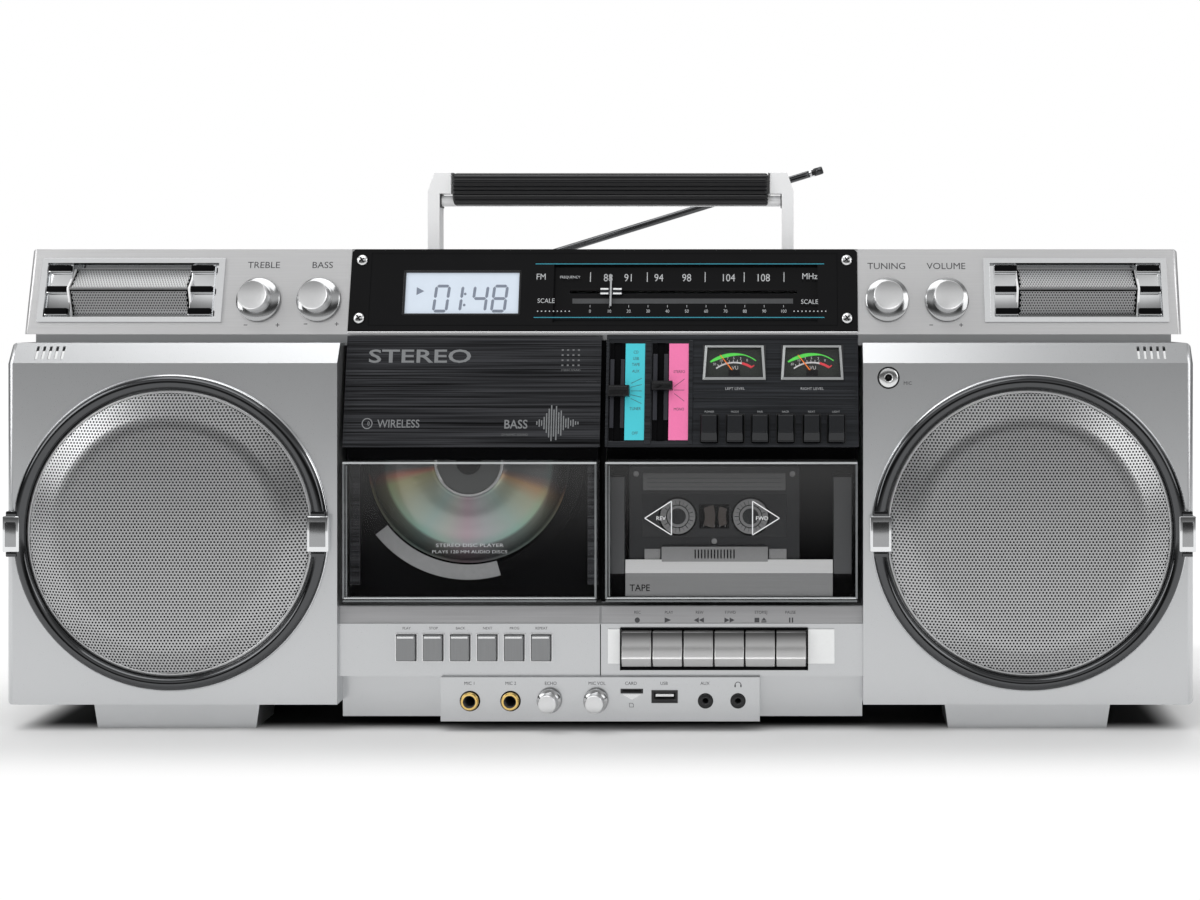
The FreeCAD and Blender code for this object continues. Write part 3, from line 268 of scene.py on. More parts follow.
def smoke_painted_sheen_by_height(m, z0, z1, a0, a1, c0, c1):
    """The smoked doors are painted paler and less clear towards their top edge: a painted sheen standing in for the
    light their glass reflects there.
    """
    nt = m.node_tree
    b = nt.nodes["Principled BSDF"]
    tc = nt.nodes["Texture Coordinate"]
    sp = nt.nodes.new("ShaderNodeSeparateXYZ")
    nt.links.new(tc.outputs["Object"], sp.inputs["Vector"])
    for name, lo, hi in (("Alpha", a0, a1), ("Base Color", c0, c1)):
        mr = nt.nodes.new("ShaderNodeMapRange")
        mr.interpolation_type = "SMOOTHSTEP"
        mr.inputs["From Min"].default_value = z0
        mr.inputs["From Max"].default_value = z1
        mr.inputs["To Min"].default_value = lo
        mr.inputs["To Max"].default_value = hi
        nt.links.new(sp.outputs["Z"], mr.inputs["Value"])
        nt.links.new(mr.outputs["Result"], b.inputs[name])


# painted sheen: the smoked windows are painted paler towards their top edge
smoke_painted_sheen_by_height(SMOKE, 0.092, 0.162, 0.03, 0.20, 0.01, 0.11)


# ---- mesh helpers ---------------------------------------------------------------
class Piece:
    """Collects faces in millimetres on one of the faces G, C or P, and becomes one object."""

    def __init__(self, name, body, mp, *mats, slot=None):
        self.name, self.body, self.mp, self.mats, self.slot = name, body, mp, list(mats), slot
        self.v, self.f, self.i, self.smooth = [], [], [], []

    def add(self, pts, faces, m=0, smooth=False, raw=False):
        n = len(self.v)
        self.v += [p if raw else self.mp(*p) for p in pts]
        self.f += [[n + k for k in f] for f in faces]
        self.i += [m] * len(faces)
        self.smooth += [smooth] * len(faces)

    def rect(self, x0, x1, z0, z1, d=-0.06, m=0):
        self.add([(x0, d, z0), (x1, d, z0), (x1, d, z1), (x0, d, z1)], [(0, 1, 2, 3)], m)

    def poly(self, pts, d=-0.06, m=0):
        self.add([(x, d, z) for x, z in pts], [tuple(range(len(pts)))], m)

    def line(self, a, c, w, d=-0.06, m=0):
        dx, dz = c[0] - a[0], c[1] - a[1]
        ln = math.hypot(dx, dz) or 1
        ux, uz = -dz / ln * w / 2, dx / ln * w / 2
        self.poly([(a[0] - ux, a[1] - uz), (c[0] - ux, c[1] - uz), (c[0] + ux, c[1] + uz), (a[0] + ux, a[1] + uz)], d, m)

    def outline(self, pts, w, d=-0.06, m=0):
        for i in range(len(pts)):
            self.line(pts[i], pts[(i + 1) % len(pts)], w, d, m)

    def arc(self, cx, cz, r0, r1, a0=0.0, a1=360.0, d=-0.06, n=48, m=0):
        pts, fs = [], []
        for i in range(n + 1):
            a = math.radians(a0 + (a1 - a0) * i / n)
            pts += [(cx + r0 * math.cos(a), d, cz + r0 * math.sin(a)), (cx + r1 * math.cos(a), d, cz + r1 * math.sin(a))]
        for i in range(n):
            fs.append((2 * i, 2 * i + 1, 2 * i + 3, 2 * i + 2))
        self.add(pts, fs, m)

    def dot(self, cx, cz, r, d=-0.06, n=20, m=0):
        self.poly([(cx + r * math.cos(math.tau * i / n), cz + r * math.sin(math.tau * i / n)) for i in range(n)], d, m)

    def text(self, s, cx, cz, cap, d=-0.06, align="CENTER", m=0, wide=1.0, bold=0.0, turn=0.0):
        cu = bpy.data.curves.new("t", "FONT")
        cu.body = s
        cu.size = cap / 0.70
        cu.align_x = align
        cu.resolution_u = 3
        cu.offset = bold * cap
        o = bpy.data.objects.new("t", cu)
        bpy.context.scene.collection.objects.link(o)
        me = bpy.data.meshes.new_from_object(o.evaluated_get(bpy.context.evaluated_depsgraph_get()))
        ct, st = math.cos(math.radians(turn)), math.sin(math.radians(turn))
        pts = []
        for v in me.vertices:
            u, w = v.co.x * wide, v.co.y - cap / 2
            pts.append((cx + u * ct - w * st, d, cz + u * st + w * ct))
        self.add(pts, [tuple(p.vertices) for p in me.polygons], m)
        bpy.data.objects.remove(o)
        bpy.data.curves.remove(cu)
        bpy.data.meshes.remove(me)

    def block(self, x0, x1, d0, d1, z0, z1, bev=0.4, seg=2, m=0, taper=None):
        bm = bmesh.new()
        bmesh.ops.create_cube(bm, size=1.0)
        for v in bm.verts:
            x = x0 + (v.co.x + 0.5) * (x1 - x0)
            y = d0 + (v.co.y + 0.5) * (d1 - d0)
            z = z0 + (v.co.z + 0.5) * (z1 - z0)
            if taper and v.co.y < 0:
                x += taper * (1 if v.co.x < 0 else -1)
                z += taper * (1 if v.co.z < 0 else -1)
            v.co = Vector((x, y, z))
        if bev:
            bmesh.ops.bevel(bm, geom=list(bm.edges), offset=bev, segments=seg, profile=0.6, affect="EDGES", clamp_overlap=True)
        bm.verts.ensure_lookup_table()
        bmesh.ops.recalc_face_normals(bm, faces=bm.faces)
        for v in bm.verts:
            v.index = v.index
        bm.verts.index_update()
        self.add([tuple(v.co) for v in bm.verts], [tuple(v.index for v in f.verts) for f in bm.faces], m, smooth=False)
        bm.free()

    def extrude(self, prof, x0, x1, m=0, smooth=False, inset=0.0):
        """A closed (d, z) outline, anticlockwise seen from +X, from x0 to x1, with softened ends if inset is given."""
        n = len(prof)
        cx = sum(p[0] for p in prof) / n
        cz = sum(p[1] for p in prof) / n

        def ringat(x, s):
            return [(x, cx + (a - cx) * s, cz + (b - cz) * s) for a, b in prof]

        if inset:
            ex = max(max(abs(a - cx), abs(b - cz)) for a, b in prof)
            k = 1 - inset / ex
            rings = [ringat(x0, k), ringat(x0 + inset * 0.35, 1 - (1 - k) * 0.3), ringat(x0 + inset, 1), ringat(x1 - inset, 1), ringat(x1 - inset * 0.35, 1 - (1 - k) * 0.3), ringat(x1, k)]
        else:
            rings = [ringat(x0, 1), ringat(x1, 1)]
        pts = [p for r in rings for p in r]
        fs = []
        for j in range(len(rings) - 1):
            for i in range(n):
                a, b = j * n + i, j * n + (i + 1) % n
                fs.append((a, b, b + n, a + n))
        fs.append(tuple(range(n))[::-1])
        fs.append(tuple((len(rings) - 1) * n + i for i in range(n)))
        self.add(pts, fs, m, smooth)

    def lathe(self, prof, cx, cz, n=72, m=0, knurl=None, smooth=True):
        """A (radius, d) outline turned about the axis through (cx, cz). knurl = (row numbers, depth)."""
        pts, fs = [], []
        k = len(prof)
        for i in range(n):
            a = math.tau * i / n
            for j, (r, d) in enumerate(prof):
                rr = r
                if knurl and j in knurl[0] and i % 2:
                    rr -= knurl[1]
                pts.append((cx + rr * math.cos(a), d, cz + rr * math.sin(a)))
        for i in range(n):
            for j in range(k - 1):
                a, b = i * k + j, ((i + 1) % n) * k + j
                fs.append((a, a + 1, b + 1, b))
        self.add(pts, fs, m, smooth)

    def make(self, solid=True, sharp=35):
        me = bpy.data.meshes.new(self.name)
        me.from_pydata([tuple(v) for v in self.v], [], self.f)
        for mt in self.mats:
            me.materials.append(mt)
        me.polygons.foreach_set("material_index", self.i)
        me.polygons.foreach_set("use_smooth", self.smooth)
        me.update()
        if solid:
            bm = bmesh.new()
            bm.from_mesh(me)
            bmesh.ops.remove_doubles(bm, verts=bm.verts, dist=1e-6)
            bmesh.ops.dissolve_degenerate(bm, edges=bm.edges, dist=1e-7)
            bmesh.ops.recalc_face_normals(bm, faces=bm.faces)
            bm.to_mesh(me)
            bm.free()
            if any(self.smooth):
                me.set_sharp_from_angle(angle=math.radians(sharp))
        me.validate()
        o = bpy.data.objects.new(self.name, me)
        bpy.context.scene.collection.objects.link(o)
        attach(o, self.body)
        return o


def paint(m, *names):
    for n in names:
        N[n].data.materials.clear()
        N[n].data.materials.append(m)


def soften(width, *names, seg=2):
    """Small rounded edges on a CAD piece, as a modifier."""
    for n in names:
        w = N[n].modifiers.new("weld", "WELD")
        w.merge_threshold = 0.00001
        d = N[n].modifiers.new("flat", "DECIMATE")
        d.decimate_type = "DISSOLVE"
        d.angle_limit = math.radians(0.6)
        b = N[n].modifiers.new("edge", "BEVEL")
        b.width = width
        b.segments = seg
        b.limit_method = "ANGLE"
        b.angle_limit = math.radians(32)
        b.use_clamp_overlap = True
        b.harden_normals = False


# ---- carried-over CAD pieces -------------------------------------------------------
paint(SILVER, "front_shell", "rear_shell", "rear_mouldings", "battery_door")
paint(SILVER_C, "top_console")
paint(GLOSS, "dial_panel")
paint(BRUSH2, "switch_panel")
paint(BRUSH, "cd_door_plate")
paint(SMOKE, "tape_door_window", "cd_door_window")
paint(DEEP, "tape_door_carrier", "tape_deck", "cd_deck")
paint(CASS, "cassette")
paint(CONE, "woofer_drivers")
paint(PCB, "boards_and_display")
paint(CHROME_S, "screws", "antenna_base")
paint(CHROME, "tweeter_horns")
# the antenna tubes get the dark chrome: a painted dark reflection, darker than their real chrome
paint(RINGM, "antenna_outer_tube", "antenna_inner_tube")
paint(HANDM, "handle_frame")
paint(DISC, "compact_disc")
paint(SPIN, "reel_spindle_left", "reel_spindle_right")
paint(BLACK, "front_sockets")
paint(ORANGE, "vu_needle_left", "vu_needle_right")
paint(BRUSH2, "tuning_pointer")
paint(SWITCH, "function_slider", "band_slider")
for i in range(6):
    paint(BTNK, "selector_button_%d" % (i + 1))
for k in ("play", "stop", "previous", "next", "program", "repeat"):
    paint(BTN, "cd_button_" + k)
soften(0.0004, "front_shell", "rear_shell", "top_console", "handle_frame")
soften(0.0003, "switch_panel", "cd_door_plate", "battery_door", "tape_door_window", "cd_door_window", "cassette", "tweeter_horns")
for n in ("compact_disc", "woofer_drivers", "antenna_outer_tube", "antenna_inner_tube", "antenna_base", "reel_spindle_left", "reel_spindle_right", "screws", "front_sockets"):
    w = N[n].modifiers.new("weld", "WELD")
    w.merge_threshold = 0.00001
    N[n].data.polygons.foreach_set("use_smooth", [True] * len(N[n].data.polygons))
    N[n].data.set_sharp_from_angle(angle=math.radians(30))


# ---- loudspeakers ---------------------------------------------------------------------
WX, WZ, RM = 250.7, 116.8, 83.9


def dome_d(r):
    """Setback of the woofer mesh at a radius: flat in the middle, a rounded shoulder, then a slope to the rim."""
    if r < 60:
        return -8.0 + 0.25 * (r / 60.0) ** 2
    if r < 69:
        t = (r - 60) / 9.0
        return -7.75 + 1.15 * t * t
    t = (r - 69) / (RM - 69)
    return -6.6 + 5.2 * t


def honeycomb(name, body, mp, inside, depth, bounds, pitch, hole, mt, replaces=None, slot=None):
    """A sheet full of six-sided holes, laid on a curved surface."""
    x0, x1, z0, z1 = bounds
    dz = pitch * math.sqrt(3) / 2
    pts, fs = [], []
    cell = pitch / math.sqrt(3)
    ca = [(math.cos(math.radians(30 + 60 * k)), math.sin(math.radians(30 + 60 * k))) for k in range(6)]
    row = 0
    z = z0
    while z <= z1:
        x = x0 + (pitch / 2 if row % 2 else 0.0)
        while x <= x1:
            if inside(x, z, cell * 1.02):
                n = len(pts)
                for c, s in ca:
                    a, b = x + cell * c, z + cell * s
                    pts.append((a, depth(a, b), b))
                for c, s in ca:
                    a, b = x + hole * c, z + hole * s
                    pts.append((a, depth(a, b), b))
                for k in range(6):
                    j = (k + 1) % 6
                    fs.append((n + k, n + j, n + 6 + j, n + 6 + k))
            x += pitch
        z += dz
        row += 1
    return pts, fs


grille = Piece("woofer_mesh_sheets", "base", G, MESHM, slot="mesh_silver")
for sx in (-1, 1):
    def ins(x, z, c, sx=sx):
        return math.hypot(x - sx * WX, z - WZ) < 83.2 - c

    def dep(x, z, sx=sx):
        return dome_d(math.hypot(x - sx * WX, z - WZ))

    p, f = honeycomb("w", "base", G, ins, dep, (sx * WX - 84, sx * WX + 84, WZ - 84, WZ + 84), 2.0, 0.66, MESHM)
    grille.add(p, f, 0, True)
    grille.lathe([(82.4, dome_d(82.4) + 0.5), (81.9, dome_d(81.9) - 0.08), (82.8, dome_d(82.8) - 0.1), (84.0, -1.3), (84.0, -0.2), (82.4, -0.3)], sx * WX, WZ, 96)
go = grille.make(solid=False)
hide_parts("woofer_grilles")

rings = Piece("woofer_ring_trims", "base", G, RINGM, CLIPM, CHROME, slot="chrome_trim")
rp = []
for i in range(13):
    a = math.pi * i / 12
    rp.append((88.1 + 3.9 * math.cos(math.pi - a), -1.0 - 3.3 * math.sin(a)))
rp = [(84.2, 0.3)] + rp + [(92.0, 0.3)]
for sx in (-1, 1):
    rings.lathe(rp, sx * WX, WZ, 128)
    rings.lathe([(91.5, -1.9), (92.1, -1.5), (92.6, -0.9), (92.7, -0.1), (91.0, -0.1)], sx * WX, WZ, 128, m=2)
    for s, a, b in ((1, 157.6, 170.2), (-1, 337.6, 347.2)):
        x0, x1 = (a, b) if sx > 0 else (-b, -a)
        rings.block(x0, x1, -4.9, -0.2, 106.2, 126.9, 0.7, 3, 2)
        rings.block(x0 + 1.6, x1 - 1.6, -5.3, -4.6, 109.2, 123.9, 0.5, 2, 1)
        for zz in (104.9, 128.2):
            rings.block(x0 + (x1 - x0) * 0.18, x1 - (x1 - x0) * 0.18, -4.5, -0.2, zz - 1.6, zz + 1.6, 0.6, 2, 0)
ro = rings.make()
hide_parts("woofer_rings")

fin = Piece("bevel_vent_fins", "base", G, WHITE)
for sx in (-1, 1):
    for i in range(5):
        a, b = 314.8 + 3.8 * i, 316.2 + 3.8 * i
        if sx < 0:
            a, b = -b, -a
        z0, z1 = 218.3, 222.9
        d0, d1 = (z0 - 216) / 11.7 * 6.3 + 0.25, (z1 - 216) / 11.7 * 6.3 + 0.25
        fin.extrude([(d0, z0), (d1, z1), (d1 + 2, z1), (d0 + 2, z0)][::-1], a, b)
fin.make()

# ---- tweeters ----------------------------------------------------------------------------
tw = Piece("tweeter_mesh_sheets", "base", C, MESH_SHADE_AND_BARS, HANDM, MESH_PAINTED_LIT, slot="mesh_silver")
tb = Piece("tweeter_horn_details", "base", C, DEEP, CHROME, CHROME_S, CONE)
for sx in (-1, 1):
    cx = sx * 282.7

    def ins(x, z, c, cx=cx):
        return abs(x - cx) < 35.2 - c and 244.4 < z - c * 0.7 and z + c * 0.7 < 272.7 and abs(z - 259.2) > 0.9

    def dep(x, z):
        return -2.7 + 8.2 * (abs(z - 259.2) / (15.4 if z < 259.2 else 13.7))

    # the upper facet gets the painted lighter copy of the mesh and the lower facet the darker one: painted light and
    # painted shade
    for zlo, zhi, mi in ((244.6, 258.9, 0), (259.5, 273.0, 2)):
        p, f = honeycomb("t", "base", C, lambda x, z, c, lo=zlo, hi=zhi: ins(x, z, c) and lo < z < hi, dep, (cx - 36, cx + 36, zlo, zhi), 1.6, 0.44, MESHM)
        tw.add(p, f, mi, True)
    tw.block(cx - 35.4, cx + 35.4, -3.0, -2.4, 258.5, 259.9, 0.25, 2, 0)
    tw.block(cx - 35.4, cx + 35.4, 4.6, 5.6, 272.2, 273.3, 0.3, 2, 0)
    tw.block(cx - 35.4, cx + 35.4, 4.6, 5.6, 243.6, 244.8, 0.3, 2, 0)
    for side in (-1, 1):
        xs = cx + side * 42.6
        tb.block(xs - 6.9, xs + 6.9, 0.9, 2.0, 243.2, 274.4, 0.3, 2, 1)
        xe = cx + side * 36.1
        tw.extrude([(5.4, 243.9), (5.4, 272.9), (-2.9, 259.9), (-2.9, 258.5)][::-1], xe - 0.6, xe + 0.6, 1)
        for zz in (246.1, 259.2, 271.8):
            tb.block(xs - 6.6, xs + 6.6, -2.1, 1.2, zz - 1.75, zz + 1.75, 0.45, 2, 0)
            tb.block(xs - 6.6, xs + 6.6, -1.3, 1.1, zz - 2.6, zz - 1.5, 0.3, 2, 1)
    # a deep-black wedge just behind the mesh: painted shade inside the horns
    tb.extrude([(7.0, 244.2), (7.0, 273.2), (6.6, 273.2), (-1.7, 259.2), (6.6, 244.2)][::-1], cx - 35.5, cx + 35.5, 0)
    tb.lathe([(0.0, 3.2), (4.0, 3.6), (7.5, 5.0), (9.0, 6.8), (11.5, 7.3), (12.4, 6.2), (13.6, 7.6)], cx - 0.4, 258.6, 48, m=3)
two = tw.make(solid=False)
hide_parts("tweeter_grilles")
tb.make()

# ---- knobs ---------------------------------------------------------------------------------
KX = {"treble": -205.4, "bass": -169.6, "tuning": 169.0, "volume": 204.5}
for k, x in KX.items():
    kb = Piece("knob_%s_turned" % k, "knob_" + k, C, KNOBM, KFLAN, INK, slot="chrome_trim")
    kb.lathe([(0.0, -13.1), (7.7, -13.15), (8.2, -13.3), (8.5, -13.1), (8.65, -12.6), (8.65, -9.0), (8.65, -4.4), (8.3, -3.8)], x, 253.0, 120, knurl=((5, 6), 0.16))
    kb.lathe([(8.3, -3.9), (9.6, -3.5), (12.2, -2.9), (12.9, -2.4), (13.0, -1.7), (12.9, -0.6), (3.0, -0.6), (3.0, 8.9), (0.0, 8.9)], x, 253.0, 96, m=1)
    ko = kb.make()
    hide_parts("knob_" + k)
for k, x in (("echo", -29.6), ("mic_volume", -2.4)):
    kb = Piece("knob_%s_turned" % k, "knob_" + k, G, KNOBM, KFLAN, INK, slot="chrome_trim")
    kb.lathe([(0.0, -10.3), (4.5, -10.35), (4.9, -10.45), (5.2, -10.2), (5.3, -9.7), (5.3, -4.0), (5.1, -3.2)], x, 18.8, 96, knurl=((4, 5), 0.13))
    kb.lathe([(5.1, -3.3), (6.0, -2.7), (6.9, -2.3), (7.25, -1.7), (7.2, -0.5), (3.0, -0.5), (3.0, 7.9), (0.0, 7.9)], x, 18.8, 80, m=1)
    ko = kb.make()
    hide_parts("knob_" + k)

# ---- console prints and dial -------------------------------------------------------------------
cl = Piece("console_prints", "base", C, INK, CHROME, DEEP)
for s, c in (("TREBLE", (-204.0, 274.0)), ("BASS", (-168.9, 274.0)), ("TUNING", (168.9, 273.4)), ("VOLUME", (204.6, 273.4))):
    cl.text(s, *c, 3.8, wide=1.1)
for c in ((-212.3, 238.1), (-176.7, 238.7), (194.9, 238.1)):
    cl.rect(c[0] - 1.1, c[0] + 1.1, c[1] - 0.22, c[1] + 0.22)
for c in ((-193.3, 238.1), (-158.2, 238.7), (212.7, 238.1)):
    cl.rect(c[0] - 1.1, c[0] + 1.1, c[1] - 0.22, c[1] + 0.22)
    cl.rect(c[0] - 0.22, c[0] + 0.22, c[1] - 1.1, c[1] + 1.1, -0.07)
cl.make(solid=False)

dg = Piece("dial_prints", "base", C, INKW, INKN, TEAL, DEEP)
D0 = -0.86
for s, c, h in (("FM", (-37.6, 266.8), 3.6), ("MHz", (122.8, 267.1), 3.6), ("88", (2.1, 267.1), 4.4), ("91", (14.4, 267.1), 4.4), ("94", (32.4, 267.1), 4.4), ("98", (49.1, 267.1), 4.4),
                ("104", (74.0, 267.1), 4.4), ("108", (94.9, 267.1), 4.4)):
    if s in ("FM", "MHz"):
        dg.text(s, *c, h, d=D0, wide=0.95, m=1)
dw = Piece("dial_scale_prints", "base", C, INKW, INKN, TEAL, DEEP, GLOSS)
E0 = 2.94
for s, c, h in (("88", (2.1, 267.1), 4.2), ("91", (14.4, 267.1), 4.2), ("94", (32.4, 267.1), 4.2), ("98", (49.1, 267.1), 4.2),
                ("104", (74.0, 267.1), 4.2), ("108", (94.9, 267.1), 4.2)):
    dw.text(s, *c, h * 1.07, d=E0, wide=0.9, m=1)
for c in ((-8.6, 267.4), (25.5, 267.4), (60.2, 267.4), (83.6, 267.4), (107.5, 267.4)):
    dw.rect(c[0] - 0.25, c[0] + 0.25, c[1] - 2.9, c[1] + 2.9, E0, 1)
for i in range(11):
    x = (-8.4, 247.0)[0] + i * ((107.2, 247.0)[0] - (-8.4, 247.0)[0]) / 10
    dw.text(str(10 * i), x, (-8.4, 247.0)[1], 1.9, d=E0, wide=0.9, m=1)
    dw.rect(x - 0.14, x + 0.14, (-8.4, 247.0)[1] + 2.2, (-8.4, 247.0)[1] + 3.6, E0, 1)
DARKI = mat("scale_groove", (0.055, 0.057, 0.06), 0.4, 0.0, var=0.2, scale=(900,) * 3)
gv = Piece("dial_scale_groove", "base", C, DARKI)
gv.rect((-19.0, 253.0)[0], (112.9, 253.0)[0], (-18.9, 251.5)[1], (-19.0, 254.5)[1], E0 + 0.02, 0)
gv.make(solid=False)
dw.make(solid=False)
dg.text("FREQUENCY", *(-20.3, 266.5), 1.5, d=D0, m=1)
dg.text("SCALE", *(-34.2, 252.4), 2.7, d=D0, wide=0.95, m=1)
dg.text("SCALE", *(122.7, 251.8), 2.7, d=D0, wide=0.95, m=1)
for i in range(9):
    dg.dot((-39.0, 246.1)[0] + i * 2.35, (-39.0, 246.1)[1], 0.42, d=D0, m=1, n=10)
    dg.dot((113.5, 246.1)[0] + i * 2.35, (113.5, 246.1)[1], 0.42, d=D0, m=1, n=10)
for y in ((-41.2, 274.4)[1], (-40.1, 242.4)[1]):
    dg.rect((-41.2, 274.6)[0], (131.5, 274.6)[0], y - 0.25, y + 0.25, -0.90, 2)
# the pane's inner border and the chrome line under the dial
for (a, b, c, e) in ((-139.4, 139.4, 280.6, 280.9), (-139.4, 139.4, 237.6, 237.9), (-139.4, -139.1, 237.6, 280.9), (139.1, 139.4, 237.6, 280.9)):
    dg.rect(a, b, c, e, -0.84, 3)
dg.make(solid=False)
dt = Piece("dial_lower_trim", "base", C, CHROME_S)
dt.block(-151.3, 151.3, -1.0, 0.2, 233.2, 234.0, 0.25, 2)
dt.make()
# LCD: frame, glowing field and seven-segment time
lc = Piece("display_field", "base", C, LCDM, LCDI, DEEP)
lx0, lz1 = (-119.2, 269.8)
lx1, lz0 = (-49.9, 243.7)
LD = 0.12
lc.block(lx0 - 0.3, lx1 + 0.3, 0.16, 1.2, lz0 - 0.3, lz1 + 0.3, 0.05, 1, 0)
SEG = {"0": "abcdef", "1": "bc", "4": "fgbc", "8": "abcdefg"}


def digit(p, ch, x, z, w, h, t):
    s = 0.10  # lean
    on = SEG[ch]

    def q(u, v):
        return (x + u + s * v, z + v)

    def bar(a, c, hor):
        if hor:
            p.poly([q(a[0] + t * 0.6, a[1] - t / 2), q(c[0] - t * 0.6, c[1] - t / 2), q(c[0] - t * 0.1, c[1]), q(c[0] - t * 0.6, c[1] + t / 2), q(a[0] + t * 0.6, a[1] + t / 2), q(a[0] + t * 0.1, a[1])], LD, 1)
        else:
            p.poly([q(a[0], a[1] + t * 0.15), q(a[0] + t / 2, a[1] + t * 0.6), q(a[0] + t / 2, c[1] - t * 0.6), q(a[0], c[1] - t * 0.15), q(a[0] - t / 2, c[1] - t * 0.6), q(a[0] - t / 2, a[1] + t * 0.6)], LD, 1)

    if "a" in on: bar((0, h), (w, h), True)
    if "g" in on: bar((0, h / 2), (w, h / 2), True)
    if "d" in on: bar((0, 0), (w, 0), True)
    if "b" in on: bar((w, h / 2), (w, h), False)
    if "c" in on: bar((w, 0), (w, h / 2), False)
    if "f" in on: bar((0, h / 2), (0, h), False)
    if "e" in on: bar((0, 0), (0, h / 2), False)


zb, zt = (-101.6, 246.4)[1], (-102.3, 261.3)[1]
for ch, px in (("0", (-101.3, 253.0)[0]), ("1", (-93.2, 253.0)[0]), ("4", (-78.3, 253.0)[0]), ("8", (-66.7, 253.0)[0])):
    digit(lc, ch, px, zb, 7.6, zt - zb, 1.7)
lc.dot((-82.7, 256.6)[0], (-82.7, 256.6)[1], 0.8, LD, m=1)
lc.dot((-83.0, 250.0)[0], (-83.0, 250.0)[1], 0.8, LD, m=1)
a = (-111.8, 260.7)
lc.poly([(a[0], a[1]), (a[0], a[1] - 4.8), (a[0] + 4.6, a[1] - 2.4)], LD, 1)
lc.make(solid=False)
lf = Piece("display_frame", "base", C, SWITCH)
for x0, x1, z0, z1 in ((-119.6, -49.4, 269.2, 270.4), (-119.6, -49.4, 243.6, 244.8), (-119.6, -118.3, 243.6, 270.4), (-50.6, -49.4, 243.6, 270.4)):
    lf.block(x0, x1, -1.05, 0.6, z0, z1, 0.2, 2)
lf.make()
# slots in the dial screws
scw = Piece("dial_screw_slots", "base", C, DEEP, CHROME)
for x, z in ((-145.0, 276.7), (145.0, 276.7), (-145.0, 242.0), (145.0, 242.0)):
    scw.arc(x, z, 3.3, 3.75, d=-0.88, n=32, m=0)
    for t in (35, 125):
        c, s = math.cos(math.radians(t)), math.sin(math.radians(t))
        scw.line((x - 1.9 * c, z - 1.9 * s), (x + 1.9 * c, z + 1.9 * s), 0.75, -2.24, 0)
scw.make(solid=False)
# pointer, as a bar with two white flags
tpn = Piece("pointer_flags", "dial_pointer", C, INKW, INKG)
for a, b in ((-2.2, 2.6), (5.4, 10.5)):
    tpn.block(a, b, 0.72, 1.1, 259.3, 260.3, 0.12, 1)
    tpn.block(a, b, 0.72, 1.1, 256.6, 257.6, 0.12, 1)
tpn.block(3.45, 4.55, 0.7, 1.1, 249.6, 268.5, 0.12, 1, 1)
tpn.make()

# ---- upper panels' prints ----------------------------------------------------------------------
INKD = mat("ink_dim", (0.17, 0.175, 0.18), 0.45, 0.2, var=0.1, scale=(2000,) * 3)
up = Piece("door_plate_prints", "cd_door", P, INKS, INKG, INKD)
up.text("STEREO", *(-107.8, 219.8), 7.6, align="CENTER", wide=1.62, bold=0.02)
c = (-135.9, 219.8)
up.text("BASS", *(-50.1, 180.0), 5.0, bold=0.02, wide=0.92)
up.text("WIRELESS", *(-118.9, 180.3), 4.6, wide=0.88, bold=0.012)
c = (-137.4, 180.3)
up.arc(c[0], c[1], 2.6, 3.2, d=-0.07, n=32)
for r0 in (0.5, 1.3):
    up.arc(c[0] - 0.2, c[1], r0, r0 + 0.4, -60, 60, d=-0.07, n=12)
wave = [2, 4, 3, 7, 11, 16, 20, 15, 19, 12, 14, 8, 5, 6, 3, 4, 2, 1.5]
for i, h in enumerate(wave):
    x = (-37.7, 180.6)[0] + i * 1.42
    up.rect(x - 0.35, x + 0.35, (-37.7, 180.6)[1] - h * 0.52, (-37.7, 180.6)[1] + h * 0.52)
up.text("DYNAMIC SOUND", *(-50.5, 173.9), 1.3, m=2)
for i in range(4):
    for j in range(4):
        x, z = (-23.5, 223.3)[0] + i * 3.2, (-23.5, 223.3)[1] - j * 3.0
        up.rect(x - 0.6, x + 0.6, z - 0.45, z + 0.45, m=2)
up.text("STEREO SOUND", *(-18.5, 211.5), 1.1, m=2)
up.make(solid=False)

sw = Piece("switch_panel_prints", "base", P, INKG, CYAN, PINK, DEEP, INK, INKW)
x0, z1 = (13.8, 227.1)
x1, z0 = (25.3, 170.7)
sw.rect(x0, x1, z0, z1, -0.10, 1)
for s, y in (("CD", (19.8, 222.1)[1]), ("USB", (19.9, 218.3)[1]), ("TAPE", (19.9, 214.8)[1]), ("AUX", (20.0, 210.9)[1]), ("TUNER", (20.3, 189.0)[1]), ("OFF", (20.6, 174.8)[1])):
    sw.text(s, (x0 + x1) / 2 + 0.4, y, 1.7, -0.14, m=4, wide=0.85)
for i, (ya, yb) in enumerate(((379, 386), (384, 388), (389, 389), (396, 391), (402, 393))):
    pass
pa = (17.8, 199.2)
for k in range(5):
    sw.line((pa[0] - 0.6, pa[1] + 4.5 - 2.2 * k), (pa[0] + 5.8, pa[1] + 7.5 - 3.7 * k), 0.28, -0.14, 4)
x0, z1 = (39.6, 227.1)
x1, z0 = (51.1, 170.7)
sw.rect(x0, x1, z0, z1, -0.10, 2)
for s, y in (("STEREO", (45.4, 210.6)[1]), ("MONO", (45.7, 188.7)[1])):
    sw.text(s, (x0 + x1) / 2 + 0.3, y, 1.6, -0.14, m=4, wide=0.85)
pa = (43.2, 199.8)
for k in range(3):
    sw.line((pa[0] - 0.4, pa[1] + 2.0 - 2.0 * k), (pa[0] + 5.6, pa[1] + 6.5 - 6.5 * k), 0.28, -0.14, 4)
sw.text("LEFT LEVEL", *(78.6, 200.7), 1.5, wide=1.1)
sw.text("RIGHT LEVEL", *(124.0, 200.7), 1.5, wide=1.1)
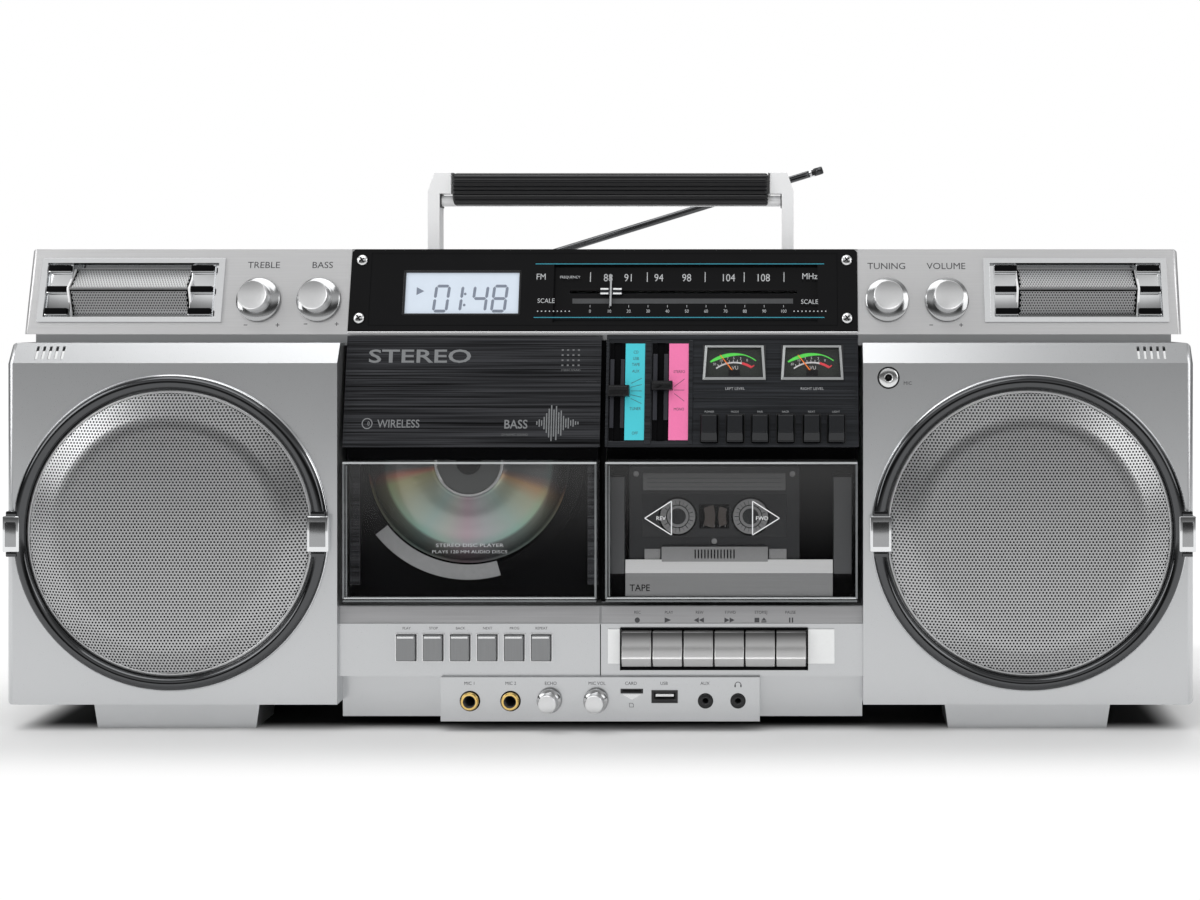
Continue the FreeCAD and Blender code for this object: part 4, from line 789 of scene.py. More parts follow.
for i, (s, px) in enumerate((("POWER", (63.6, 187.6)), ("MODE", (78.6, 187.6)), ("PAIR", (93.4, 187.6)), ("BACK", (108.4, 187.6)), ("NEXT", (123.7, 187.6)), ("LIGHT", (138.1, 187.6)))):
    sw.text(s, px[0], px[1] - 0.4, 1.15, m=0)
sw.make(solid=False)
# a raised border round the panel, as on the real moulding
sb = Piece("switch_panel_border", "base", P, BRUSH2, SWITCH)
for a, b, c, e in ((2.5, 151.4, 229.6, 231.8), (2.5, 4.1, 167.2, 229.6), (25.6, 29.0, 168.6, 229.2), (51.2, 53.6, 168.6, 229.2)):
    sb.block(a, b, -0.7, 0.3, c, e, 0.3, 2)
for y in ((57.9, 199.2)[1], (58.0, 194.8)[1], (58.0, 190.5)[1]):
    sb.block(54.5, 150.0, -0.35, 0.2, y - 1.3, y + 0.6, 0.3, 2)
sb.make()
gr2 = Piece("slot_shadows", "base", P, DEEP)
for a, b in ((4.1, 14.1), (29.4, 39.9)):
    gr2.rect(a + 0.05, b - 0.05, 170.2, 227.5, 1.55)
for a, b in ((4.15, 6.9), (11.4, 14.05), (29.45, 32.4), (36.9, 39.85)):
    gr2.rect(a, b, 170.15, 227.55, 0.87)
gr2.make(solid=False)

# ---- level meters ------------------------------------------------------------------------------------
FRAME_G = mat("meter_frame", (0.30, 0.31, 0.31), 0.35, 0.6, var=0.1, scale=(900,) * 3)
# the meter face is given a faint glow: painted light
FACE = mat("meter_face", (0.016, 0.018, 0.017), 0.35, 0.0, var=0.3, scale=(60, 60, 60), rvar=0.05, emit=(0.03, 0.034, 0.03), es=0.5)
vm = Piece("meter_dials", "base", P, FACE, FRAME_G, INKW, GREEN, REDM, SWITCH)
for cxm, hw in ((78.1, 18.6), (124.15, 18.45)):
    zb_, zt_ = 205.7, 225.9
    vm.rect(cxm - hw + 1.6, cxm + hw - 1.6, 206.9, 224.9, 2.35, 0)
    # trapezium frame in four bevelled bars
    o = [(cxm - hw, zb_), (cxm + hw, zb_), (cxm + hw - 1.3, zt_), (cxm - hw + 1.3, zt_)]
    n_ = [(cxm - hw + 1.5, zb_ + 1.4), (cxm + hw - 1.5, zb_ + 1.4), (cxm + hw - 2.7, zt_ - 1.3), (cxm - hw + 2.7, zt_ - 1.3)]
    for k in range(4):
        j = (k + 1) % 4
        vm.add([(o[k][0], -1.1, o[k][1]), (o[j][0], -1.1, o[j][1]), (n_[j][0], -1.9, n_[j][1]), (n_[k][0], -1.9, n_[k][1]), (n_[k][0], 2.3, n_[k][1]), (n_[j][0], 2.3, n_[j][1])],
               [(0, 1, 2, 3), (3, 2, 5, 4)], 1)
    pz, F = 197.9, 2.29
    # green swoosh, white scale with ticks, red end
    nseg = 26
    pts = []
    for k in range(nseg + 1):
        t = k / nseg
        a = math.radians(126 - 68 * t)
        w = 0.35 + 2.2 * math.sin(math.pi * min(1.0, t * 1.25 + 0.05)) ** 0.8 * (1 - 0.55 * t) if t < 0.76 else 0.55
        r = 24.6 - 2.0 * (t - 0.4) ** 2
        pts.append(((cxm + (r - w) * math.cos(a) * 1.02, F, pz + (r - w) * math.sin(a) - 0.6), (cxm + r * math.cos(a) * 1.02, F, pz + r * math.sin(a) - 0.6)))
    flat = [p for ab in pts for p in ab]
    vm.add(flat, [(2 * k + 2, 2 * k + 3, 2 * k + 1, 2 * k) for k in range(nseg)], 3)
    vm.arc(cxm, pz, 17.9, 18.8, 76, 126, F - 0.02, 24, 2)
    vm.arc(cxm, pz, 17.8, 19.2, 57, 76, F - 0.02, 12, 4)
    for a in (120, 113, 106, 99, 92, 85, 78):
        c, s = math.cos(math.radians(a)), math.sin(math.radians(a))
        vm.line((cxm + 18.6 * c, pz + 18.6 * s), (cxm + 20.0 * c, pz + 20.0 * s), 0.3, F - 0.02, 2)
    for a, s_ in ((124, "20"), (112, "10"), (101, "7"), (91, "5"), (80, "3"), (69, "0")):
        vm.text(s_, cxm + 21.1 * math.cos(math.radians(a)), pz + 21.1 * math.sin(math.radians(a)), 1.4, F - 0.02, m=2)
    vm.text("VU", cxm + 0.4, 213.2, 2.1, F - 0.02, m=2)
    vm.line((cxm + 18.4 * math.cos(math.radians(57)), pz + 18.4 * math.sin(math.radians(57))), (cxm + 20.4 * math.cos(math.radians(55)), pz + 20.4 * math.sin(math.radians(55))), 0.7, F - 0.03, 4)
vm.make(solid=False)
paint(BLACK, "vu_meters")
MPANE = mat("meter_pane", (0.02, 0.02, 0.02), 0.04, 0.0, var=0.1, scale=(20,) * 3, rvar=0.01, alpha=0.08, spec=0.5)
mhc = Piece("meter_hub_covers", "base", P, SWITCH)
for cxm in (78.1, 124.15):
    mhc.extrude([(0.15, 206.9), (0.15, 211.6), (0.5, 211.6), (0.5, 206.9)], cxm - 3.4, cxm + 3.4)
mhc.make()
mpn = Piece("meter_panes", "base", P, MPANE)
for cxm, hw in ((78.1, 18.6), (124.15, 18.45)):
    mpn.block(cxm - hw + 2.7, cxm + hw - 2.7, -0.35, 0.1, 207.4, 224.4, 0.1, 1)
mpn.make()

# ---- slide-switch caps --------------------------------------------------------------------------------
for nm, body, a, b, z0, z1, plate in (("function", "function_switch", 4.3, 16.6, 195.7, 202.1, (177.9, 217.9)), ("band", "band_switch", 29.9, 42.0, 199.4, 204.6, (182.4, 221.0))):
    sc = Piece(nm + "_slider_cap", body, P, SWITCH, BTNK, INKG)
    zc = (z0 + z1) / 2
    sc.block(a, b, -6.0, -0.5, z0, z1, 0.9, 3)
    sc.block(a + 0.6, b - 0.6, -6.35, -5.6, zc + 0.5, z1 - 0.7, 0.25, 2)
    sc.make()
scs = Piece("slot_cover_strips", "base", P, mat("slot_plate", (0.022, 0.023, 0.030), 0.34, 0.1, var=0.2, scale=(1500, 1500, 200), rvar=0.06))
for a, b, z0, z1 in ((4.8, 7.2, 177.9, 217.9), (11.1, 13.3, 177.9, 217.9), (30.2, 32.7, 182.4, 221.0), (36.6, 39.1, 182.4, 221.0)):
    scs.block(a, b, 0.2, 0.88, z0, z1, 0.2, 2)
scs.make()

# ---- selector buttons: a black cap, with a deep-black strip below it as painted shade ---------------------
for i, x in enumerate([63.7, 78.8, 93.5, 108.5, 123.7, 138.1]):
    sbt = Piece("selector_cap_%d" % (i + 1), "selector_button_%d" % (i + 1), P, BTNK, DEEP)
    sbt.block(x - 4.35, x + 4.35, -7.35, -6.7, 174.9, 184.3, 0.5, 3, 0)
    # painted shade: a deep-black strip under the cap
    sbt.block(x - 4.5, x + 4.5, -4.9, -4.4, 169.7, 173.9, 0.2, 2, 1)
    sbt.make()
sbh = Piece("selector_surrounds", "base", P, SWITCH, INKG)
for x in [63.7, 78.8, 93.5, 108.5, 123.7, 138.1]:
    for a, b, c, e in ((x - 5.7, x - 5.0, 169.0, 185.2), (x + 5.0, x + 5.7, 169.0, 185.2), (x - 5.7, x + 5.7, 185.35, 185.9)):
        sbh.block(a, b, -0.55, 0.2, c, e, 0.15, 2, 0)
sbh.make()

# ---- doors ---------------------------------------------------------------------------------------------
for nm, body, x0, x1 in (("tape", "tape_door", 2.7, 150.8), ("cd", "cd_door", -151.0, -1.9)):
    # the glass edges carry painted light: pale painted highlight lines on the top and bottom edges, painted shade on
    # the sides, lip and inner strip
    dr = Piece(nm + "_door_edges", body, G, EDGE_PAINTED_HIGHLIGHT, EDGE_PAINTED_SHADE, CHROME)
    dr.block(x0 + 0.3, x1 - 0.3, -0.25, 2.6, 156.9, 158.1, 0.35, 2, 0)
    dr.block(x0 + 0.2, x0 + 1.5, -0.2, 2.6, 78.0, 156.8, 0.35, 2, 1)
    dr.block(x1 - 1.5, x1 - 0.2, -0.2, 2.6, 78.0, 156.8, 0.35, 2, 1)
    dr.block(x0 + 1.0, x1 - 1.0, -0.25, 2.4, 78.0, 78.9, 0.3, 2, 0)
    dr.block(x0 + 0.4, x1 - 0.4, -0.15, 2.2, 76.2, 77.4, 0.35, 2, 1)
    dr.block(x0 + 2.2, x0 + 3.0, -0.15, 1.2, 79.5, 156.0, 0.2, 2, 1)
    dr.make()
shr = Piece("disc_door_shroud", "cd_door", G, DEEP)
shr.block(-150.8, -2.1, 9.0, 12.6, 158.4, 167.6, 0.3, 1)
shr.make()
# a deep-black block in the gap between the doors: painted shade where the gap would otherwise show the lit wall behind
mc = Piece("mullion_cover", "base", G, DEEP)
mc.block(-1.05, 1.85, 15.3, 16.2, 73.6, 229.0, 0.2, 1)
mc.make()
# cavity linings behind the glass
bk = Piece("disc_bay_lining", "base", G, DEEP, ARC, BLACK)
bk.rect(-150.9, -2.0, 74.7, 167.5, 20.9, 0)
bk.arc(-80.3, 156.5, 61.0, 70.0, 218, 286, 16.2, 40, 1)
bk.make(solid=False)
bt = Piece("tape_bay_lining", "base", G, DEEP)
bt.rect(2.6, 151.0, 74.7, 164.0, 20.9, 0)
bt.make(solid=False)

# ---- disc: hub ring and print ------------------------------------------------------------------------
cdp = Piece("disc_hub_ring", "disc", G, CHROME_S, mat("disc_clear_hub", (0.10, 0.105, 0.105), 0.2, 0.3, var=0.1, scale=(400,) * 3), INKG)
cdp.lathe([(18.9, 16.95), (19.3, 16.6), (20.4, 16.6), (20.8, 16.95)], -80.3, 156.5, 96)
cdp.arc(-80.3, 156.5, 7.6, 18.8, 0, 360, 16.93, 64, 1)
cdp.make()
cdt = Piece("disc_door_prints", "cd_door", G, INKG, INKS)
cdt.text("STEREO DISC PLAYER", *(-76.3, 109.5), 2.0, -0.05, wide=1.45)
cdt.text("PLAYS 120 MM AUDIO DISCS", *(-76.3, 105.7), 1.8, -0.05, wide=1.35)
cdt.make(solid=False)

# ---- tape door: silver plate, strips, triangles ----------------------------------------------------------
tp = Piece("tape_door_plate", "tape_door", G, TPLATE, TPLATE_PAINTED_LIT, DEEP, HOLDER)
xa, xb = (14.4, 88.5)[0], (136.1, 88.5)[0]
za, zm, zt2 = (14.1, 78.9)[1], (14.1, 92.6)[1], (14.1, 100.5)[1]
tp.block(xa, xb, 3.2, 5.0, za, zm, 0.3, 2, 0)
# the upper face slopes back and up and is given the lighter copy: a painted highlight
tp.add([(xa, 3.15, zm), (xb, 3.15, zm), (xb, 3.95, zt2), (xa, 3.95, zt2), (xa, 4.15, zm), (xb, 4.15, zm), (xb, 4.15, zt2), (xa, 4.15, zt2)],
       [(0, 1, 2, 3), (2, 6, 7, 3), (1, 5, 6, 2), (0, 3, 7, 4)], 1)
tp.text("TAPE", *(22.9, 84.1), 3.9, 3.1, m=2, wide=0.95, bold=0.006)
for a, b in (((3.3, 135.3)[0], (13.8, 135.3)[0]), ((136.6, 135.3)[0], (147.1, 135.3)[0])):
    tp.rect(a, b, (-0.7, 92.2)[1], (-0.7, 148.9)[1], 3.95, 3)
tp.make(solid=False)
ta = Piece("tape_door_arrows", "tape_door", G, INKW)
for tri, s, c in ((((26.1, 125.3), (41.7, 115.5), (41.7, 135.3)), "REV", (35.5, 125.3)), (((89.1, 135.3), (89.1, 115.5), (104.8, 125.3)), "FWD", (94.6, 125.3))):
    ta.outline(list(tri), 0.6, -0.10)
    ta.text(s, *c, 2.3, -0.10)
ta.make(solid=False)

# ---- cassette ---------------------------------------------------------------------------------------------
ct = Piece("cassette_details", "tape_door", G, CASS_L, CASS_G, TAPEP, SPIN, DEEP, CASS)
fx0, fz1 = (25.0, 145.1)
fx1, fz0 = (108.8, 137.0)
ct.block(24.6, 108.4, 5.6, 6.2, 141.0, 151.0, 0.25, 2, 0)
for k in range(3):
    ct.rect(27.0, 106.0, 142.8 + 2.6 * k, 143.0 + 2.6 * k, 5.52, 5)
ct.block(24.0, 109.0, 5.7, 6.2, 113.5, 138.6, 0.25, 2, 5)
for hx in (45.0, 87.8):
    ct.lathe([(4.75, 6.3), (4.75, 5.4), (9.4, 5.35), (10.2, 5.5), (10.4, 5.9)], hx, 125.6, 56, m=1)
    ct.arc(hx, 125.6, 10.5, 11.4, d=5.55, n=48, m=4)
    ct.arc(hx, 125.6, 6.4, 6.9, d=5.3, n=40, m=4)
    for k in range(22):
        a = math.radians(360 / 22 * k)
        c, s = math.cos(a), math.sin(a)
        ct.line((hx + 6.9 * c, 125.6 + 6.9 * s), (hx + 9.3 * c, 125.6 + 9.3 * s), 0.35, 5.29, 4 if k % 2 else 0)
    for k in range(6):
        a = math.radians(60 * k + 15)
        c, s = math.cos(a), math.sin(a)
        ct.line((hx + 4.72 * c, 125.6 + 4.72 * s), (hx + 3.85 * c, 125.6 + 3.85 * s), 0.9, 6.0, 3)
# window between the hubs, with the tape packs behind it
ct.block(57.6, 75.2, 5.45, 5.9, 118.5, 132.7, 0.3, 2, 4)
ct.arc(45.0, 125.6, 16.0, 22.0, -18, 18, 5.42, 16, 2)
ct.arc(87.8, 125.6, 14.5, 19.0, 162, 198, 5.42, 16, 2)
for k in range(5):
    ct.rect(60.0 + 3.2 * k, 60.3 + 3.2 * k, 119.3, 120.6, 5.40, 1)
# head part with ribs, and its end blocks
ct.block(35.6, 98.0, 3.7, 4.5, 99.2, 108.0, 0.3, 2, 1)
for k in range(13):
    ct.block(55.0 + 1.9 * k, 55.7 + 1.9 * k, 3.4, 3.8, 101.2, 106.4, 0.12, 1, 4)
for a, b in ((25.5, 34.8), (98.6, 109.0)):
    ct.block(a, b, 4.9, 6.1, 99.2, 106.6, 0.3, 2, 1)
for hx, hz in ((20.5, 150.6), (112.5, 150.6), (66.5, 111.0)):
    ct.lathe([(0.0, 5.75), (1.1, 5.75), (1.5, 5.5), (1.7, 5.9)], hx, hz, 20, m=1)
ct.make()

# ---- lower fascia --------------------------------------------------------------------------------------------
lw = Piece("fascia_band", "base", G, BAND)
for a, b in ((-153.2, -0.9), (0.5, 153.2)):
    # the sloping band above the keys
    lw.add([(a, 2.9, 63.6), (b, 2.9, 63.6), (b, 4.72, 72.6), (a, 4.72, 72.6), (a, 3.2, 63.6), (b, 3.2, 63.6), (b, 5.0, 72.6), (a, 5.0, 72.6)],
           [(0, 1, 2, 3), (3, 2, 6, 7), (0, 3, 7, 4), (1, 5, 6, 2), (0, 4, 5, 1)], 0)
lw.make()
fb = Piece("band_prints", "base", lambda x, d, z: G(x, 2.9 + (z - 63.6) / 9.0 * 1.82 + d, z), INK)
fp = Piece("fascia_prints", "base", G, INK, DEEP, WHITE)
for s, c in (("REC", (21.4, 69.5)), ("PLAY", (39.9, 69.5)), ("REW", (57.9, 69.5)), ("F.FWD", (76.0, 69.5)), ("STOP/EJ", (94.0, 69.5)), ("PAUSE", (111.3, 69.5))):
    fb.text(s, c[0], c[1], 1.7, -0.07, wide=0.9)
sy = (21.5, 65.1)[1]
SD = -0.07


def tri(p, x, z, w, h, right=True):
    if right:
        p.poly([(x - w / 2, z + h / 2), (x - w / 2, z - h / 2), (x + w / 2, z)], SD)
    else:
        p.poly([(x + w / 2, z - h / 2), (x + w / 2, z + h / 2), (x - w / 2, z)], SD)


kx = [21.4 + 18.05 * i for i in range(6)]
fb.dot(kx[0], sy, 1.5, SD)
tri(fb, kx[1], sy, 4.0, 3.0)
tri(fb, kx[2] - 1.5, sy, 3.0, 2.9, False)
tri(fb, kx[2] + 1.5, sy, 3.0, 2.9, False)
tri(fb, kx[3] - 1.5, sy, 3.0, 2.9)
tri(fb, kx[3] + 1.5, sy, 3.0, 2.9)
fb.rect(kx[4] - 3.4, kx[4] - 0.6, sy - 1.3, sy + 1.3, SD)
fb.poly([(kx[4] + 0.6, sy - 0.3), (kx[4] + 3.6, sy - 0.3), (kx[4] + 2.1, sy + 1.5)], SD)
fb.rect(kx[4] + 0.6, kx[4] + 3.6, sy - 1.3, sy - 0.7, SD)
fb.rect(kx[5] - 1.2, kx[5] - 0.4, sy - 1.4, sy + 1.4, SD)
fb.rect(kx[5] + 0.4, kx[5] + 1.2, sy - 1.4, sy + 1.4, SD)
for s, x in zip(("PLAY", "STOP", "BACK", "NEXT", "PROG", "REPEAT"), (-113.9, -98.1, -82.3, -66.4, -50.6, -34.8)):
    fp.text(s, x, 60.4, 1.5, 2.93)
for s, c in (("MIC 1", (-76.3, 28.8)), ("MIC 2", (-52.3, 28.8)), ("ECHO", (-28.9, 28.8)), ("MIC VOL", (-1.9, 28.8)), ("CARD", (18.0, 28.8)), ("USB", (37.3, 28.8)), ("AUX", (61.3, 28.8))):
    fp.text(s, c[0], c[1], 1.9, -0.07, wide=0.95)
# a headphone mark, and small marks beside the slot
hx, hz = (80.6, 28.2)
fp.arc(hx, hz - 0.4, 1.5, 1.9, 0, 180, -0.07, 20)
fp.rect(hx - 2.1, hx - 1.3, hz - 1.7, hz - 0.2, -0.07)
fp.rect(hx + 1.3, hx + 2.1, hz - 1.7, hz - 0.2, -0.07)
cx_, cz_ = (18.3, 15.9)
fp.outline([(cx_ - 1.2, cz_ - 1), (cx_ + 1.2, cz_ - 1), (cx_ + 1.2, cz_ + 0.6), (cx_ + 0.4, cz_ + 1.2), (cx_ - 1.2, cz_ + 1.2)], 0.25, -0.07)
fp.text("MIC", *(179.8, 204.3), 2.0, -0.07)
# the line between the two halves of the fascia
fp.rect(-0.45, 0.1, 32.6, 62.8, 2.93, 1)
fp.make(solid=False)
fb.make(solid=False)
wp = Piece("key_plates", "base", G, WHITE, DEEP, CHROME_S)
wp.block(4.3, 12.4, 1.6, 3.1, 39.8, 60.0, 0.3, 2, 0)
wp.block(120.6, 137.1, 1.6, 3.1, 39.8, 60.0, 0.3, 2, 0)
# deep-black bars round the tape keys: painted shade in the gaps round the key block
wp.block(11.9, 121.1, 1.9, 3.0, 35.9, 37.9, 0.3, 2, 1)
wp.block(11.4, 12.3, 1.0, 3.1, 36.0, 60.4, 0.25, 2, 1)
wp.block(120.7, 121.6, 1.0, 3.1, 36.0, 60.4, 0.25, 2, 1)
wp.block(11.4, 121.6, 1.0, 3.1, 60.0, 60.7, 0.2, 2, 1)
for x in (-113.9, -98.1, -82.3, -66.4, -50.6, -34.8):
    for a, b, c, e in ((x - 6.6, x - 5.95, 41.2, 57.0), (x + 5.95, x + 6.6, 41.2, 57.0), (x - 6.6, x + 6.6, 56.9, 57.5), (x - 6.6, x + 6.6, 40.7, 41.3)):
        wp.block(a, b, 2.2, 3.1, c, e, 0.2, 2, 2)
wp.make()
# deep-black sheets behind the key openings: painted shade in the wells
kd = Piece("key_well", "base", G, DEEP)
kd.rect(11.6, 121.4, 35.6, 60.6, 19.2)
for x in (-113.9, -98.1, -82.3, -66.4, -50.6, -34.8):
    kd.rect(x - 6.2, x + 6.2, 41.0, 57.2, 13.5)
kd.make(solid=False)

def graded(name, stops, z0, z1, rough, metal):
    """A metal painted lighter and darker with height by the given stops: painted highlight and painted shade standing
    in for the light on a curved chromed key.
    """
    m = mat(name, (0.8, 0.8, 0.8), rough, metal, var=0.02, scale=(900, 60, 60), rvar=0.03)
    nt = m.node_tree
    b = nt.nodes["Principled BSDF"]
    tc = nt.nodes["Texture Coordinate"]
    sp = nt.nodes.new("ShaderNodeSeparateXYZ")
    nt.links.new(tc.outputs["Object"], sp.inputs["Vector"])
    mr = nt.nodes.new("ShaderNodeMapRange")
    mr.inputs["From Min"].default_value = z0
    mr.inputs["From Max"].default_value = z1
    nt.links.new(sp.outputs["Z"], mr.inputs["Value"])
    r = nt.nodes.new("ShaderNodeValToRGB")
    e = r.color_ramp.elements
    e[0].position, e[0].color = stops[0][0], (stops[0][1],) * 3 + (1,)
    e[1].position, e[1].color = stops[-1][0], (stops[-1][1],) * 3 + (1,)
    for p, c in stops[1:-1]:
        x = e.new(p)
        x.color = (c, c, c, 1)
    nt.links.new(mr.outputs["Result"], r.inputs["Fac"])
    mx = nt.nodes.new("ShaderNodeMix")
    mx.data_type = "RGBA"
    mx.blend_type = "MULTIPLY"
    mx.inputs["Factor"].default_value = 1.0
    old = b.inputs["Base Color"].links[0].from_socket
    nt.links.new(old, mx.inputs["A"])
    nt.links.new(r.outputs["Color"], mx.inputs["B"])
    nt.links.new(mx.outputs["Result"], b.inputs["Base Color"])
    return m


# painted light: the keys are painted dark at the top, with a painted highlight along the crease
KEY_PAINTED_LIGHT = graded("key_chrome_painted_highlight_and_shade", [(0.0, 0.30), (0.04, 0.62), (0.24, 0.72), (0.27, 1.0), (0.31, 0.80), (0.46, 0.78), (0.70, 0.40), (0.92, 0.09), (0.98, 0.09), (1.0, 0.4)], 0.0387, 0.0593, 0.30, 0.7)
KN = ["record", "play", "rewind", "forward", "stop", "pause"]
for i, k in enumerate(KN):
    x = 21.4 + 18.05 * i
    key = Piece("tape_key_%s_cap" % k, "tape_key_" + k, G, KEY_PAINTED_LIGHT, slot="button_silver")
    prof = []
    for t in range(13):
        u = t / 12.0
        z = 59.0 - (59.0 - 44.4) * u
        prof.append((-3.1 + 2.6 * math.sin(math.pi * min(1.0, u * 0.9)) ** 1.2 * 0.62 - 1.0 * u, z))
    prof = [(14.0, 59.3), (-2.0, 59.3), (-2.8, 59.2)] + prof + [(-4.15, 43.9), (-3.7, 43.2), (-1.5, 38.9), (-1.0, 38.7), (14.0, 38.7)]
    key.extrude([(a, b) for a, b in prof], x - 8.6, x + 8.6, 0, False, inset=0.0)
    ko = key.make()
    ko.data.polygons.foreach_set("use_smooth", [True] * len(ko.data.polygons))
    ko.data.set_sharp_from_angle(angle=math.radians(28))
    bv = ko.modifiers.new("edge", "BEVEL")
    bv.width = 0.0004
    bv.segments = 2
    bv.limit_method = "ANGLE"
    bv.angle_limit = math.radians(60)
    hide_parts("tape_key_" + k)
for k, x in zip(("play", "stop", "previous", "next", "program", "repeat"), (-113.9, -98.1, -82.3, -66.4, -50.6, -34.8)):
    cb = Piece("cd_button_%s_cap" % k, "cd_button_" + k, G, BTN, BUTTON_TOP_PAINTED_HIGHLIGHT, slot="button_silver")
    cb.block(x - 5.55, x + 5.55, -0.3, 12.0, 41.75, 56.45, 0.8, 3, 0)
    # a pale strip across the top of each button: a painted highlight on its top edge
    cb.block(x - 4.9, x + 4.9, -0.55, 0.3, 55.0, 56.0, 0.25, 2, 1)
    co = cb.make()
    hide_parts("cd_button_" + k)

# ---- sockets ---------------------------------------------------------------------------------------------------
sk = Piece("socket_rims", "base", G, BRASS, BLACK, CHROME_S, DEEP, SWITCH)
for x in (-76.1, -52.4):
    sk.lathe([(3.25, 3.0), (3.25, -1.9), (3.7, -2.6), (4.6, -2.6), (5.2, -1.9), (5.4, -0.6), (5.4, 0.2)], x, 18.4, 56, m=0)
    sk.arc(x, 18.4, 5.4, 6.0, d=-0.1, n=48, m=3)
for x in (61.6, 80.6):
    sk.lathe([(1.85, 3.0), (1.85, -0.7), (2.1, -1.0), (3.4, -1.0), (4.0, -0.7), (4.15, 0.2)], x, 18.5, 48, m=4)
    sk.arc(x, 18.5, 4.1, 4.5, d=-0.08, n=48, m=3)
sk.block(30.0, 45.4, -0.75, 0.3, 23.9, 24.7, 0.2, 2, 1)
sk.block(30.0, 45.4, -0.75, 0.3, 17.3, 18.1, 0.2, 2, 1)
sk.block(30.0, 30.8, -0.75, 0.3, 17.3, 24.7, 0.2, 2, 1)
sk.block(44.6, 45.4, -0.75, 0.3, 17.3, 24.7, 0.2, 2, 1)
sk.block(32.4, 43.0, 0.6, 1.6, 20.8, 22.5, 0.15, 2, 2)
# scoop under the card slot
for k in range(7):
    w = 5.2 - 0.75 * k
    sk.rect(18.5 - w, 18.5 + w, 21.9 - 0.42 * k, 22.3 - 0.42 * k, -0.05, 2)
# built-in microphone
sk.lathe([(1.95, 2.2), (1.95, -0.7), (2.5, -1.1), (4.6, -1.1), (5.5, -0.7), (5.9, 0.1)], 168.6, 207.4, 56, m=2)
sk.arc(168.6, 207.4, 5.9, 6.5, d=-0.05, n=48, m=3)
sk.make()

# ---- handle grip: ribbed along its length -------------------------------------------------------------------------
hg = Piece("handle_grip_ribbed", "handle", G, GRIP, slot="grip_black")
prof = []
for i in range(96):
    a = math.tau * i / 96
    # rounded box outline, with grooves
    c, s = math.cos(a), math.sin(a)
    ex = 3.4
    r = 1.0 / ((abs(c) / 9.95) ** ex + (abs(s) / 10.2) ** ex) ** (1 / ex)
    if i % 4 == 2:
        r -= 0.75
    elif i % 4 in (1, 3):
        r -= 0.12
    prof.append((61.5 + r * c, 322.0 + r * s))
hg.extrude(prof, -97.5, 97.5, 0, False, inset=1.4)
ho = hg.make()
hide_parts("handle_grip")
hd = Piece("handle_end_plates", "handle", G, CHROME_S, BLACK)
for sx in (-1, 1):
    a, b = (97.6, 99.0) if sx > 0 else (-99.0, -97.6)
    hd.block(a, b, 54.6, 68.4, 318.4, 332.2, 0.4, 2, 0)
    a, b = (105.4, 106.0) if sx > 0 else (-106.0, -105.4)
    hd.block(a, b, 57.0, 66.0, 310.6, 318.9, 0.25, 2, 1)
hd.make()
# antenna: rings at the joints of the tube and a dark tip
an = Piece("antenna_tip_cap", "antenna_tip", G, SWITCH)
A = math.radians(17.1)
ax, az = -63.0, 281.7
ux, uz = math.cos(A), math.sin(A)


def along(p, s0, s1, r, m=0, n=20, flat=1.0):
    pts = []
    for s, rr in ((s0, r * 0.6), (s0 + 0.3, r), (s1 - 0.6, r), (s1, r * 0.55)):
        for i in range(n):
            t = math.tau * i / n
            o = rr * math.cos(t)
            pts.append((ax + ux * s - uz * o * flat, 150.0 + rr * math.sin(t), az + uz * s + ux * o * flat))
    fs = [(j * n + i, j * n + (i + 1) % n, (j + 1) * n + (i + 1) % n, (j + 1) * n + i) for j in range(3) for i in range(n)]
    fs += [tuple(range(n))[::-1], tuple(3 * n + i for i in range(n))]
    p.add(pts, fs, m, True)


along(an, 197.8, 206.0, 2.72, flat=0.95)
an.make()
al = Piece("antenna_collars", "antenna_mast", G, CHROME)
along(al, 3.4, 9.0, 2.9)
along(al, 196.2, 200.1, 2.65)
al.make()

# ---- back: prints and battery door ridges ------------------------------------------------------------------------
bkp = Piece("rear_prints", "base", lambda x, d, z: G(-x, 174.5 - d, z), INK, DEEP)
bkp.text("AC IN", -251.0, 62.0, 2.6, -0.06)
bkp.text("8 x 1.5 V", 0.0, 118.5, 3.2, -0.06)
for i in range(8):
    x = -52 + 15 * i
    bkp.outline([(x - 6, 128.0), (x + 6, 128.0), (x + 6, 132.0), (x - 6, 132.0)], 0.3, -0.06)
    bkp.text("+" if i % 2 else "-", x, 130.0, 2.0, -0.06)
bkp.make(solid=False)
bat = Piece("battery_door_ridges", "battery_cover", G, SILVER)
for k in range(5):
    bat.block(-12.0, 12.0, 174.0, 174.45, 92.0 + 2.0 * k, 93.0 + 2.0 * k, 0.15, 2)
bat.make()

# ---- floor, light and camera ------------------------------------------------------------------------------------------
fl = bpy.data.meshes.new("floor")
fl.from_pydata([(-6, -1.15, 0), (6, -1.15, 0), (6, 6, 0), (-6, 6, 0)], [], [(0, 1, 2, 3)])
fo = bpy.data.objects.new("floor", fl)
bpy.context.scene.collection.objects.link(fo)
FLM = mat("floor_white", (0.90, 0.90, 0.90), 0.7, 0.0, var=0.01, scale=(3,) * 3, spec=0.2)
fl.materials.append(FLM)


